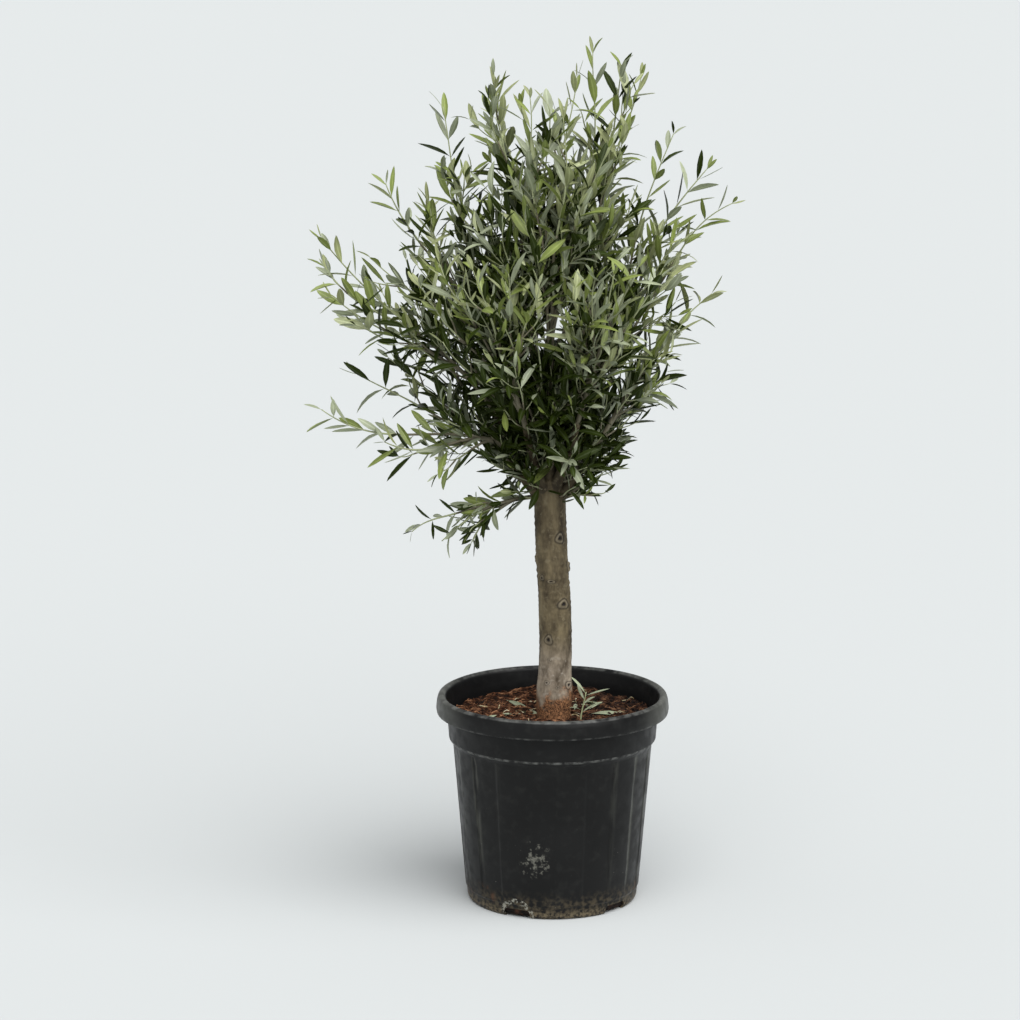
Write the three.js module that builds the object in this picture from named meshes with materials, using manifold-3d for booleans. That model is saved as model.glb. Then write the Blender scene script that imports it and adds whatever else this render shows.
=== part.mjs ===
// Potted olive tree: a young olive grown as a small standard tree in a black nursery pot.
// Millimetres, +Z up. The origin is the middle of the pot's flat underside, and the front faces -Y.
// A bearing is in degrees round the trunk, from +X towards +Y. Heights are above the underside.
import Module from "manifold-3d";
import * as THREE from "three";
import { mergeVertices } from "three/addons/utils/BufferGeometryUtils.js";

// The pot
const POT_HEIGHT = 361.5;
const LIP_RADIUS = 200;
const LIP_DROP = 33;
const COLLAR_TOP_RADIUS = 181.2;
const COLLAR_FOOT_RADIUS = 178;
const COLLAR_FOOT_HEIGHT = 284;
const COLLAR_SLOPE = 8;
const BODY_TOP_RADIUS = 171.2;
const BODY_FOOT_RADIUS = 150;
const BODY_FOOT_HEIGHT = 24;
const FOOT_RADIUS = 143;
const FOOT_ROUND = 5;
const FOOT_STEP = 3;
const WALL = 3;
const FLOOR = 4;
const POT_SEGMENTS = 40;
const PANELS = 10;
const PANEL_DEPTH = 1.6;
const PANEL_TURN = 2;
const FLUTE = [0.6, 0.9];
const NOTCHES = 5;
const NOTCH_WIDTH = 48;
const NOTCH_HEIGHT = 15;
const NOTCH_REACH = 13;
const FIRST_NOTCH_BEARING = 245;

// The lip's section, from under its skirt, round the outside and over to the inner edge, each point as
// the distance in from the lip's radius and down from the pot's top
const LIP_SECTION = [
  [14.5, 9.5],
  [4.5, LIP_DROP - 1],
  [1.5, LIP_DROP],
  [0, 25],
  [1.5, 11],
  [4, 3],
  [10, 0],
  [16.5, 5.5],
];

// The soil
const SOIL_HEIGHT = 316;
const SOIL_FLAT_RADIUS = 66;
const SOIL_SWELL = 5;
const SOIL_RINGS = 3;
const SOIL_EDGE_GAP = 1.6;

// The trunk
const TRUNK_TOP = 732;
const TRUNK_FOOT_RADIUS = 27.8;
const TRUNK_TOP_RADIUS = 26.6;
const FLARE = 3.8;
const FLARE_HEIGHT = 42;
const FLARE_SPREAD = 30;
const TRUNK_SIDES = 10;
const TRUNK_STEPS = 12;
const TRUNK_BOW = 5;
const TRUNK_LEAN = -7;
const STUB_RADIUS = 5;
const STUB_RISE = 4;
const CUT_SIZE = 120;

// The stubs of two pruned shoots, as share of the trunk's height, bearing and how far each sticks out
const STUBS = [[0.625, 0, 5], [0.65, 180, 1.5]];

// The limbs
const LIMB_SIDES = 6;
const LIMB_STEPS = 6;
const BOUGH_TIP_RADIUS = 5.5;
const BOUGH_TAPER = 0.7;
const BOUGH_LIFT = 0.35;
const CURVE_HANDLE = 0.36;
const GAP = 0.4;

// The leaves and the twigs that carry them
const LEAF_LENGTH = 94;
const LEAF_WIDTH = 22;
const LEAF_THICKNESS = 2.4;
const LEAF_WIDEST = 0.42;
const LEAF_TRIES = [[1, 48], [0.8, 36], [0.62, 48]];
const TIP_LEAF = 0.62;
const ROOT_SINK = 0.6;
const STEM_RADIUS = 5.2;
const BRANCH_RADIUS = 3.2;
const LEADER_TIP_RADIUS = 1.8;
const LEADER_STEP = 75;
const LEADER_LEAST_STEPS = 4;
const TWIG_RADIUS = 2;
const TWIG_TIP_RADIUS = 1.5;
const TWIG_SHARE = 0.42;
const TWIG_LEAST = 46;
const TWIG_ANGLE = 46;
const TWIG_TRIES = [1, 0.75, 0.55];
const NODE_STEP = 49;
const LAST_BUD = 0.93;
const WOODY_SHARE = 0.75;
const WOODY_EVERY = 2;
const FIRST_FORK = 0.07;
const TRUNK_FORK = 0.21;
const FORK_STEP = 0.045;
const LEADERS = 3;
const LIFT = 0.1;

// The room between them
const SPACE_MARGIN = 2;
const LIMB_CLEARANCE = 2.5;
const JOINT_REACH = 1;
const LEAF_SPACING = 13;
const LOWEST_LEAF = 400;
const SEED = 7919;

// The young shoot at the foot: its place on the soil, its stem from foot to tip, and its leaves, as
// share of the stem, bearing and length
const SPROUT_PLACE = [48, -24];
const SPROUT_STEM = [9, 4, 52];
const SPROUT_RADII = [2.2, 1.3];
const SPROUT_LEAVES = [
  [0.32, 20, 34],
  [0.4, 200, 26],
  [0.6, 290, 34],
  [0.76, 130, 30],
  [0.88, 14, 34],
  [0.96, 198, 26],
];

const UP = new THREE.Vector3(0, 0, 1);
const LEAF_GREEN = 0x5f6f45;
const BARK = 0x8a8075;

// Each bough: the height at which it leaves the trunk's line, its radius there, and its tip's place.
const BOUGHS = [
  { name: "bough_left", springs: 700, girth: 11, bearing: 183, reach: 95, height: 842 },
  { name: "bough_low_left", springs: 690, girth: 9, bearing: 203, reach: 88, height: 790 },
  { name: "bough_upper_left", springs: 712, girth: 11, bearing: 156, reach: 72, height: 880 },
  { name: "bough_centre_left", springs: 716, girth: 11, bearing: 205, reach: 34, height: 905 },
  { name: "bough_centre_right", springs: 716, girth: 12, bearing: 345, reach: 30, height: 910 },
  { name: "bough_right", springs: 704, girth: 11, bearing: 14, reach: 82, height: 855 },
  { name: "bough_low_right", springs: 692, girth: 9, bearing: 338, reach: 78, height: 795 },
  { name: "bough_front_left", springs: 700, girth: 10, bearing: 238, reach: 88, height: 835 },
  { name: "bough_front_right", springs: 704, girth: 10, bearing: 297, reach: 88, height: 845 },
  { name: "bough_front", springs: 712, girth: 10, bearing: 264, reach: 62, height: 900 },
  { name: "bough_back_left", springs: 698, girth: 10, bearing: 128, reach: 92, height: 835 },
  { name: "bough_back_right", springs: 706, girth: 10, bearing: 58, reach: 92, height: 845 },
  { name: "bough_back", springs: 712, girth: 10, bearing: 92, reach: 62, height: 900 },
];

// Each mass: the bough or the height on the trunk that carries it, and its fan of leaders, from the
// first to the last, each as the bearing, reach and height of the leader's outermost leaf tip. A mass
// has three leaders and lifts a little towards its tips unless its row says otherwise.
const MASSES = [
  { name: "foliage_left_upper", on: "bough_left", first: [177, 408, 1162], last: [178, 315, 1130] },
  {
    name: "foliage_left_low", on: "bough_low_left", lift: 0.5,
    first: [188, 418, 868], last: [203, 215, 782],
  },
  {
    name: "foliage_upper_left", on: "bough_upper_left", lift: 0.3,
    first: [166, 200, 1385], last: [187, 325, 1135],
  },
  {
    name: "foliage_top_left", on: "bough_centre_left", leaders: 2,
    first: [330, 46, 1442], last: [160, 110, 1442],
  },
  {
    name: "foliage_top", on: "bough_centre_right", lift: -0.1,
    first: [0, 84, 1478], last: [10, 152, 1436],
  },
  {
    name: "foliage_right_upper", on: "bough_right", lift: -0.45,
    first: [10, 208, 1342], last: [356, 308, 1230],
  },
  {
    name: "foliage_right", on: "bough_low_right", lift: -0.2,
    first: [11, 291, 1062], last: [345, 190, 968],
  },
  { name: "foliage_front_left", on: "bough_front_left", first: [204, 280, 1110], last: [258, 215, 1080] },
  { name: "foliage_front_right", on: "bough_front_right", first: [322, 235, 1140], last: [282, 215, 1080] },
  {
    name: "foliage_front_upper", on: "bough_front", lift: -0.1,
    first: [215, 115, 1375], last: [310, 140, 1335],
  },
  { name: "foliage_back_left", on: "bough_back_left", first: [152, 290, 1120], last: [104, 215, 1080] },
  { name: "foliage_back_right", on: "bough_back_right", first: [40, 245, 1150], last: [78, 215, 1080] },
  {
    name: "foliage_back_upper", on: "bough_back", lift: -0.1,
    first: [135, 125, 1368], last: [58, 155, 1335],
  },
  { name: "foliage_left_drooping", on: 706, first: [189, 266, 642], last: [195, 168, 622], lift: -0.5 },
  { name: "foliage_left_inner", on: 690, first: [170, 358, 925], last: [160, 215, 960] },
  { name: "foliage_right_low", on: 676, first: [350, 130, 820], last: [315, 100, 730] },
  { name: "foliage_right_inner", on: 690, leaders: 2, first: [14, 165, 905], last: [25, 110, 812] },
  { name: "foliage_front_low", on: 690, first: [212, 225, 1015], last: [300, 190, 990], lift: 0.2 },
  { name: "foliage_back_low", on: 686, first: [160, 225, 1005], last: [70, 190, 990], lift: 0.2 },
];

const wasm = await Module();
wasm.setup();

/** A manifold-3d solid of a closed geometry, with its shared vertices merged. */
function solidOf(geometry) {
  const bare = geometry.clone();
  bare.deleteAttribute("normal");
  bare.deleteAttribute("uv");
  const merged = mergeVertices(bare);
  const corners = merged.index.array;
  const kept = [];
  for (let i = 0; i < corners.length; i += 3) {
    const [a, b, c] = [corners[i], corners[i + 1], corners[i + 2]];
    if (a !== b && b !== c && c !== a) kept.push(a, b, c);
  }
  const vertProperties = new Float32Array(merged.attributes.position.array);
  return new wasm.Manifold(new wasm.Mesh({ numProp: 3, vertProperties, triVerts: new Uint32Array(kept) }));
}

/** The largest body of a solid, without loose scraps and sealed hollows. */
function mainBody(solid) {
  return solid.decompose().reduce((best, body) => (body.volume() > best.volume() ? body : best));
}

/** A named mesh of a solid. */
function meshOf(name, solid, color, roughness) {
  const { vertProperties, triVerts } = solid.getMesh();
  const geometry = new THREE.BufferGeometry();
  geometry.setAttribute("position", new THREE.BufferAttribute(vertProperties, 3));
  geometry.setIndex(new THREE.BufferAttribute(triVerts, 1));
  geometry.computeVertexNormals();
  const mesh = new THREE.Mesh(geometry, new THREE.MeshStandardMaterial({ color, roughness, metalness: 0 }));
  mesh.name = name;
  return mesh;
}

/** The point at a bearing, a reach from the trunk's line and a height. */
function polar(bearing, reach, height) {
  const angle = THREE.MathUtils.degToRad(bearing);
  return new THREE.Vector3(reach * Math.cos(angle), reach * Math.sin(angle), height);
}

/** Seeded random numbers from -1 to 1, the same on every run. */
function makeChance(seed) {
  let state = seed;
  return () => {
    state = (state + 0x6d2b79f5) | 0;
    let mixed = Math.imul(state ^ (state >>> 15), 1 | state);
    mixed = (mixed + Math.imul(mixed ^ (mixed >>> 7), 61 | mixed)) ^ mixed;
    return ((mixed ^ (mixed >>> 14)) >>> 0) / 2 ** 31 - 1;
  };
}

/** A solid turned round +Z from a profile of radius and height that starts and ends on the axis. */
function turned(profile, reshape) {
  const points = profile.map(([radius, height]) => new THREE.Vector2(radius, height));
  const geometry = new THREE.LatheGeometry(points, POT_SEGMENTS, THREE.MathUtils.degToRad(PANEL_TURN));
  geometry.rotateX(Math.PI / 2);
  const position = geometry.attributes.position;
  const vertex = new THREE.Vector3();
  for (let i = 0; i < position.count; i += 1) {
    reshape(vertex.fromBufferAttribute(position, i));
    position.setXYZ(i, vertex.x, vertex.y, vertex.z);
  }
  return solidOf(geometry);
}

/** The pot's shell: floor, foot, fluted body, collar and the lip rolled over it. */
function potSolid() {
  const profile = [
    [0, 0],
    [FOOT_RADIUS, 0],
    [FOOT_RADIUS + 0.7 * FOOT_ROUND, FOOT_ROUND],
    [FOOT_RADIUS + FOOT_ROUND, BODY_FOOT_HEIGHT - FOOT_STEP],
    [BODY_FOOT_RADIUS, BODY_FOOT_HEIGHT],
    [BODY_TOP_RADIUS, COLLAR_FOOT_HEIGHT - COLLAR_SLOPE],
    [COLLAR_FOOT_RADIUS, COLLAR_FOOT_HEIGHT],
    [COLLAR_TOP_RADIUS, POT_HEIGHT - LIP_DROP + 2],
    ...LIP_SECTION.map(([inward, down]) => [LIP_RADIUS - inward, POT_HEIGHT - down]),
    ...innerWall(0).reverse(),
    [0, FLOOR],
  ];
  const shell = turned(profile, (vertex) => {
    const radius = Math.hypot(vertex.x, vertex.y);
    const onBody = vertex.z >= BODY_FOOT_HEIGHT && vertex.z <= COLLAR_FOOT_HEIGHT - COLLAR_SLOPE;
    if (!onBody || radius < innerRadiusAt(vertex.z) + 1) return;
    const bearing = THREE.MathUtils.radToDeg(Math.atan2(vertex.y, vertex.x)) + 90 - PANEL_TURN;
    const share = THREE.MathUtils.euclideanModulo(bearing * PANELS, 360) / 360;
    if (share < FLUTE[0] || share > FLUTE[1]) return;
    vertex.x *= 1 - PANEL_DEPTH / radius;
    vertex.y *= 1 - PANEL_DEPTH / radius;
  });
  const notches = [];
  for (let i = 0; i < NOTCHES; i += 1) {
    notches.push(notchSolid(FIRST_NOTCH_BEARING + (i * 360) / NOTCHES));
  }
  return mainBody(shell.subtract(wasm.Manifold.union(notches)));
}

/** The inside of the wall as radius and height from the floor up, drawn in by a clearance. */
function innerWall(clearance) {
  return [
    [FOOT_RADIUS - 1, FLOOR + clearance],
    [BODY_FOOT_RADIUS - WALL - clearance, BODY_FOOT_HEIGHT],
    [BODY_TOP_RADIUS - WALL - clearance, COLLAR_FOOT_HEIGHT - 5],
    [COLLAR_FOOT_RADIUS - WALL - clearance, COLLAR_FOOT_HEIGHT + 2],
    [COLLAR_TOP_RADIUS - WALL - clearance, POT_HEIGHT - LIP_DROP],
  ];
}

/** The inside radius of the wall at a height. */
function innerRadiusAt(height) {
  const wall = innerWall(0);
  const above = Math.max(1, wall.findIndex(([, z]) => z >= height));
  const [lowRadius, lowHeight] = wall[above - 1];
  const [highRadius, highHeight] = wall[above];
  return THREE.MathUtils.mapLinear(height, lowHeight, highHeight, lowRadius, highRadius);
}

/** The cutter of one drain notch, an arch through the foot's corner. */
function notchSolid(bearing) {
  const half = NOTCH_WIDTH / 2;
  const round = NOTCH_HEIGHT * 0.6;
  const arch = new THREE.Shape();
  arch.moveTo(-half, -1);
  arch.lineTo(half, -1);
  arch.lineTo(half, NOTCH_HEIGHT - round);
  arch.quadraticCurveTo(half, NOTCH_HEIGHT, half - round, NOTCH_HEIGHT);
  arch.lineTo(round - half, NOTCH_HEIGHT);
  arch.quadraticCurveTo(-half, NOTCH_HEIGHT, -half, NOTCH_HEIGHT - round);
  const depth = NOTCH_REACH * 2;
  const geometry = new THREE.ExtrudeGeometry(arch, { depth, bevelEnabled: false, curveSegments: 3 });
  geometry.rotateX(Math.PI / 2);
  geometry.translate(0, FOOT_RADIUS + NOTCH_REACH, 0);
  geometry.rotateZ(THREE.MathUtils.degToRad(bearing - 90));
  return solidOf(geometry);
}

/** The height of the soil's uneven top: flat round the trunk, with low mounds towards the wall. */
function soilTop(x, y) {
  const radius = Math.hypot(x, y);
  const bearing = Math.atan2(y, x);
  const rise = THREE.MathUtils.smoothstep(radius, SOIL_FLAT_RADIUS, COLLAR_FOOT_RADIUS);
  const mounds = 0.5 + 0.3 * Math.sin(bearing) - 0.45 * Math.cos(2 * bearing) + 0.25 * Math.sin(5 * bearing);
  return SOIL_HEIGHT + SOIL_SWELL * rise * mounds;
}

/** The soil that fills the pot. */
function soilSolid() {
  const edge = COLLAR_TOP_RADIUS - WALL - SOIL_EDGE_GAP;
  const wall = innerWall(GAP).slice(0, -1);
  const top = [];
  for (let ring = 0; ring <= SOIL_RINGS; ring += 1) {
    top.push([THREE.MathUtils.lerp(edge, SOIL_FLAT_RADIUS, ring / SOIL_RINGS), SOIL_HEIGHT]);
  }
  return turned([[0, FLOOR + GAP], ...wall, ...top, [0, SOIL_HEIGHT]], (vertex) => {
    if (vertex.z > SOIL_HEIGHT - 1) vertex.z = soilTop(vertex.x, vertex.y);
  });
}

/** A closed tapering limb along a curve, with flat ends square to it. */
function limbSolid(curve, radiusAt, sides, steps) {
  const ring = [];
  for (let i = 0; i < sides; i += 1) {
    const angle = (2 * Math.PI * i) / sides;
    ring.push(new THREE.Vector2(Math.cos(angle), Math.sin(angle)));
  }
  const geometry = new THREE.ExtrudeGeometry(new THREE.Shape(ring), { depth: 1, steps, bevelEnabled: false });
  const frames = curve.computeFrenetFrames(steps, false);
  const position = geometry.attributes.position;
  for (let i = 0; i < position.count; i += 1) {
    const along = position.getZ(i);
    const step = Math.round(along * steps);
    const radius = radiusAt(along);
    const vertex = curve.getPointAt(step / steps);
    vertex.addScaledVector(frames.normals[step], position.getX(i) * radius);
    vertex.addScaledVector(frames.binormals[step], position.getY(i) * radius);
    position.setXYZ(i, vertex.x, vertex.y, vertex.z);
  }
  return solidOf(geometry);
}

/** The trunk's line, from the flat cut at the soil to the fork, with its slight bow and lean. */
function trunkCurve(growth) {
  const height = TRUNK_TOP - SOIL_HEIGHT;
  return new THREE.CatmullRomCurve3([
    new THREE.Vector3(TRUNK_BOW * 0.3, 0, SOIL_HEIGHT),
    new THREE.Vector3(TRUNK_BOW, -2, SOIL_HEIGHT + height * 0.38),
    new THREE.Vector3(-TRUNK_BOW * 0.3, 2, SOIL_HEIGHT + height * 0.68),
    new THREE.Vector3(TRUNK_LEAN, 0, TRUNK_TOP + growth),
  ]);
}

/** The trunk's radius at a share of its height: a slow taper, with the root flare a little above the soil. */
function trunkRadius(share) {
  const height = share * (TRUNK_TOP - SOIL_HEIGHT);
  const flare = FLARE * Math.exp(-(((height - FLARE_HEIGHT) / FLARE_SPREAD) ** 2));
  return THREE.MathUtils.lerp(TRUNK_FOOT_RADIUS, TRUNK_TOP_RADIUS, share) + flare;
}

/** The trunk, with the stubs of two pruned shoots, or its outline grown by a clearance. */
function trunkSolid(growth) {
  const curve = trunkCurve(growth);
  const trunk = limbSolid(curve, (along) => trunkRadius(along) + growth, TRUNK_SIDES, TRUNK_STEPS);
  const stubs = STUBS.map(([share, bearing, proud]) => {
    const root = curve.getPointAt(share);
    const end = root.clone().add(polar(bearing, trunkRadius(share) + proud + growth, STUB_RISE));
    return limbSolid(new THREE.LineCurve3(root, end), () => STUB_RADIUS + growth, 5, 1);
  });
  const ground = new THREE.BoxGeometry(CUT_SIZE, CUT_SIZE, CUT_SIZE);
  ground.translate(0, 0, SOIL_HEIGHT + GAP - growth - CUT_SIZE / 2);
  return wasm.Manifold.union([trunk, ...stubs]).subtract(solidOf(ground));
}

/** A curve that leaves its start in one direction and ends turned up, or down, by its lift. */
function sweep(start, direction, end, lift) {
  const handle = start.distanceTo(end) * CURVE_HANDLE;
  const turn = end.clone().sub(start).normalize().addScaledVector(UP, lift).normalize();
  return new THREE.CubicBezierCurve3(
    start,
    start.clone().addScaledVector(direction, handle),
    end.clone().addScaledVector(turn, -handle),
    end,
  );
}

/** The line of a bough, out of the trunk and up to its tip. */
function boughCurve(bough) {
  const tip = polar(bough.bearing, bough.reach, bough.height);
  const root = trunkPointAt(bough.springs);
  const outward = polar(bough.bearing, 1, 0);
  const climb = (bough.height - bough.springs) / bough.reach;
  const direction = outward.addScaledVector(UP, Math.max(0.75, climb * 0.7)).normalize();
  return sweep(root, direction, tip, BOUGH_LIFT);
}

/** The point of the trunk's line at a height. */
function trunkPointAt(height) {
  const curve = trunkCurve(0);
  return curve.getPointAt((height - SOIL_HEIGHT) / (TRUNK_TOP - SOIL_HEIGHT));
}

/** A limb's line as straight stretches, each with the radius at its start and end. */
function stretchesOf(curve, radiusAt, count) {
  const points = curve.getSpacedPoints(count);
  return points.slice(1).map((end, i) => ({
    line: new THREE.Line3(points[i], end),
    radius: Math.max(radiusAt(i / count), radiusAt((i + 1) / count)),
  }));
}

/** The distance from a point to the nearest of some stretches' surfaces. */
function clearanceTo(point, stretches) {
  const nearest = new THREE.Vector3();
  let least = Infinity;
  for (const { line, radius } of stretches) {
    line.closestPointToPoint(point, true, nearest);
    least = Math.min(least, nearest.distanceTo(point) - radius);
  }
  return least;
}

/** The leaders of a mass: the middle one from its root to its tip, the others branching from it. */
function leadersOf(mass, root, direction) {
  const { leaders = LEADERS, lift = LIFT } = mass;
  const first = polar(...mass.first).sub(root);
  const last = polar(...mass.last).sub(root);
  const [from, to] = [first.clone().normalize(), last.clone().normalize()];
  const whole = new THREE.Quaternion().setFromUnitVectors(from, to);
  const middle = Math.floor(leaders / 2);
  const fork = boughCurves.has(mass.on) ? FIRST_FORK : TRUNK_FORK;
  const ends = [];
  for (let i = 0; i < leaders; i += 1) {
    const share = i / (leaders - 1);
    const turn = new THREE.Quaternion().slerp(whole, share);
    const length = THREE.MathUtils.lerp(first.length(), last.length(), share) - LEAF_LENGTH * TIP_LEAF;
    ends.push(from.clone().applyQuaternion(turn).multiplyScalar(length).add(root));
  }
  const main = sweep(root, direction, ends[middle], lift);
  return ends.map((end, i) => {
    if (i === middle) return main;
    const start = main.getPointAt(fork + i * FORK_STEP);
    const turn = end.clone().sub(start).normalize().add(main.getTangentAt(fork)).normalize();
    return sweep(start, turn, end, lift);
  });
}

/** A leaf: a flat lance shape with a keel below, its root sunk in its twig. */
function leafSolid(root, direction, side, length) {
  const scale = length / LEAF_LENGTH;
  const outline = [new THREE.Vector2(0, 0), new THREE.Vector2(1, LEAF_WIDEST), new THREE.Vector2(0, 1)];
  const geometry = new THREE.LatheGeometry(outline, 3);
  geometry.scale((scale * LEAF_WIDTH) / Math.sqrt(3), length, (scale * LEAF_THICKNESS) / 1.5);
  const under = side.clone().cross(direction);
  const sunk = root.clone().addScaledVector(direction, -ROOT_SINK);
  geometry.applyMatrix4(new THREE.Matrix4().makeBasis(side, direction, under).setPosition(sunk));
  return solidOf(geometry);
}

/** A direction square to another, at an angle round it. */
function squareTo(direction, angle) {
  const helper = Math.abs(direction.z) < 0.9 ? UP : new THREE.Vector3(1, 0, 0);
  const side = new THREE.Vector3().crossVectors(direction, helper).normalize();
  return side.applyAxisAngle(direction, angle);
}

/** A leaf or twig direction: leaning from its carrier's line by an angle, and lifted a little. */
function leanOut(direction, outward, degrees, lift) {
  const angle = THREE.MathUtils.degToRad(degrees);
  const lean = direction.clone().multiplyScalar(Math.cos(angle)).addScaledVector(outward, Math.sin(angle));
  return lean.addScaledVector(UP, lift).normalize();
}

/** Whether the boxes round two solids meet. */
function boxesMeet(a, b) {
  const [boxA, boxB] = [a.boundingBox(), b.boundingBox()];
  return [0, 1, 2].every((axis) => boxA.min[axis] < boxB.max[axis] && boxB.min[axis] < boxA.max[axis]);
}

/** The point and the direction of a shoot's axis, which is made of straight steps, at a share of it. */
function axisAt({ curve, steps }, along) {
  const step = Math.min(steps - 1, Math.floor(along * steps));
  const start = curve.getPointAt(step / steps);
  const line = curve.getPointAt((step + 1) / steps).sub(start);
  const root = start.addScaledVector(line, along * steps - step);
  return { root, line: line.normalize() };
}

/** The buds of a shoot, from its tip inwards: opposite pairs, each turned a quarter from the last. */
function budsOf(shoot, chance) {
  const length = shoot.curve.getLength();
  const turn = Math.PI * chance();
  const buds = [];
  for (let pair = 0; LAST_BUD - (pair * NODE_STEP) / length > shoot.bareShare; pair += 1) {
    const along = LAST_BUD - (pair * NODE_STEP) / length;
    const { root, line } = axisAt(shoot, along);
    for (const half of [0, 1]) {
      const outward = squareTo(line, turn + (pair * Math.PI) / 2 + half * Math.PI + 0.3 * chance());
      const woody = shoot.isLeader && along < WOODY_SHARE && half === 0 && pair % WOODY_EVERY === 0;
      buds.push({ along, root, line, outward, woody });
    }
  }
  return buds;
}

/** Grows one mass inside its own space: leaders, then twigs from their inner buds, then leaves. */
function growMass(mass, leaders, spaces, limbs) {
  const chance = makeChance(SEED * (1 + MASSES.indexOf(mass)));
  const lift = mass.lift ?? LIFT;
  const own = spaces.get(mass.name);
  const others = [...spaces].filter(([name]) => name !== mass.name).flatMap(([, stretches]) => stretches);
  const pieces = [];
  const midribs = [];

  const keeps = (point, half) => {
    if (point.z < LOWEST_LEAF) return false;
    if (clearanceTo(point, own) + half + SPACE_MARGIN > clearanceTo(point, others)) return false;
    return clearanceTo(point, limbs) > half + LIMB_CLEARANCE;
  };

  const crosses = (solid, root) => pieces.some((piece) => {
    const joined = clearanceTo(root, piece.reach) < JOINT_REACH;
    return !joined && boxesMeet(solid, piece.solid) && !solid.intersect(piece.solid).isEmpty();
  });

  const addTwig = ({ along, root, line, outward }, leaderLength) => {
    const direction = leanOut(line, outward, TWIG_ANGLE + 10 * chance(), 0.1);
    for (const share of TWIG_TRIES) {
      const length = share * Math.max(TWIG_LEAST, TWIG_SHARE * leaderLength * (1 - 0.5 * along));
      const end = root.clone().addScaledVector(direction, length).addScaledVector(UP, lift * length * 0.2);
      const curve = new THREE.LineCurve3(root, end);
      const inSpace = curve.getSpacedPoints(6).slice(1).every((point) => keeps(point, TWIG_RADIUS));
      if (!inSpace) continue;
      const radiusAt = (part) => THREE.MathUtils.lerp(TWIG_RADIUS, TWIG_TIP_RADIUS, part);
      const solid = limbSolid(curve, radiusAt, 3, 1);
      if (crosses(solid, root)) continue;
      pieces.push({ solid, reach: stretchesOf(curve, () => 0, 1) });
      return { curve, steps: 1, isLeader: false, bareShare: 0.35 };
    }
    return null;
  };

  const addLeaf = ({ root, line, outward }, scale) => {
    const size = scale * (1 + 0.1 * chance());
    const [wobble, roll] = [12 * chance(), 0.5 * chance()];
    for (const [share, angle] of LEAF_TRIES) {
      const length = LEAF_LENGTH * size * share;
      const direction = leanOut(line, outward, angle + wobble, 0.12);
      const side = line.clone().cross(direction).normalize().applyAxisAngle(direction, roll);
      const at = (along) => root.clone().addScaledVector(direction, length * along);
      const half = (LEAF_WIDTH * size * share) / 2;
      const edges = [-1, 1].map((sign) => at(LEAF_WIDEST).addScaledVector(side, sign * half));
      const middle = [0.3, 0.5, 0.75, 1].map(at);
      const inSpace = [at(0.15), ...middle, ...edges].every((point) => keeps(point, 1));
      if (!inSpace || middle.some((point) => clearanceTo(point, midribs) < LEAF_SPACING)) continue;
      const solid = leafSolid(root, direction, side, length);
      if (crosses(solid, root)) continue;
      pieces.push({ solid, reach: [{ line: new THREE.Line3(root, root), radius: 0 }] });
      midribs.push({ line: new THREE.Line3(at(0.2), at(1)), radius: 0 });
      return;
    }
  };

  const shoots = leaders.map((curve, i) => {
    const [girth, sides] = i === Math.floor(leaders.length / 2) ? [STEM_RADIUS, 4] : [BRANCH_RADIUS, 3];
    const steps = Math.max(LEADER_LEAST_STEPS, Math.round(curve.getLength() / LEADER_STEP));
    const radiusAt = (along) => THREE.MathUtils.lerp(girth, LEADER_TIP_RADIUS, along);
    const solid = limbSolid(curve, radiusAt, sides, steps);
    pieces.push({ solid, reach: stretchesOf(curve, () => 0, steps) });
    return { curve, steps, isLeader: true, bareShare: 0.15 };
  });
  const buds = new Map(shoots.map((shoot) => [shoot, budsOf(shoot, chance)]));
  for (const shoot of [...shoots]) {
    for (const bud of buds.get(shoot).filter(({ woody }) => woody)) {
      const twig = addTwig(bud, shoot.curve.getLength());
      if (twig) {
        bud.taken = true;
        buds.set(twig, budsOf(twig, chance));
      }
    }
  }
  for (const [shoot, all] of buds) {
    const tip = axisAt(shoot, 0.99);
    addLeaf({ ...tip, outward: squareTo(tip.line, chance()).multiplyScalar(0.2) }, TIP_LEAF);
    for (const bud of all.filter(({ taken }) => !taken)) {
      addLeaf(bud, THREE.MathUtils.lerp(1, shoot.isLeader ? TIP_LEAF : 0.85, bud.along));
    }
  }
  return wasm.Manifold.union(pieces.map(({ solid }) => solid));
}

/** The young shoot that stands on the soil beside the trunk. */
function footSprout() {
  const root = new THREE.Vector3(...SPROUT_PLACE, SOIL_HEIGHT + GAP);
  const stem = new THREE.LineCurve3(root, root.clone().add(new THREE.Vector3(...SPROUT_STEM)));
  const solids = [limbSolid(stem, (along) => THREE.MathUtils.lerp(...SPROUT_RADII, along), 4, 2)];
  for (const [along, bearing, length] of SPROUT_LEAVES) {
    const direction = polar(bearing, 0.8, 0.6).normalize();
    const side = new THREE.Vector3().crossVectors(direction, UP).normalize();
    solids.push(leafSolid(stem.getPointAt(along), direction, side, length));
  }
  return mainBody(wasm.Manifold.union(solids));
}

const model = new THREE.Group();
model.add(meshOf("pot", potSolid(), 0x2b2b2b, 0.6));
model.add(meshOf("soil", soilSolid(), 0x5b3a28, 0.95));
model.add(meshOf("trunk", trunkSolid(0), BARK, 0.85));

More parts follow.
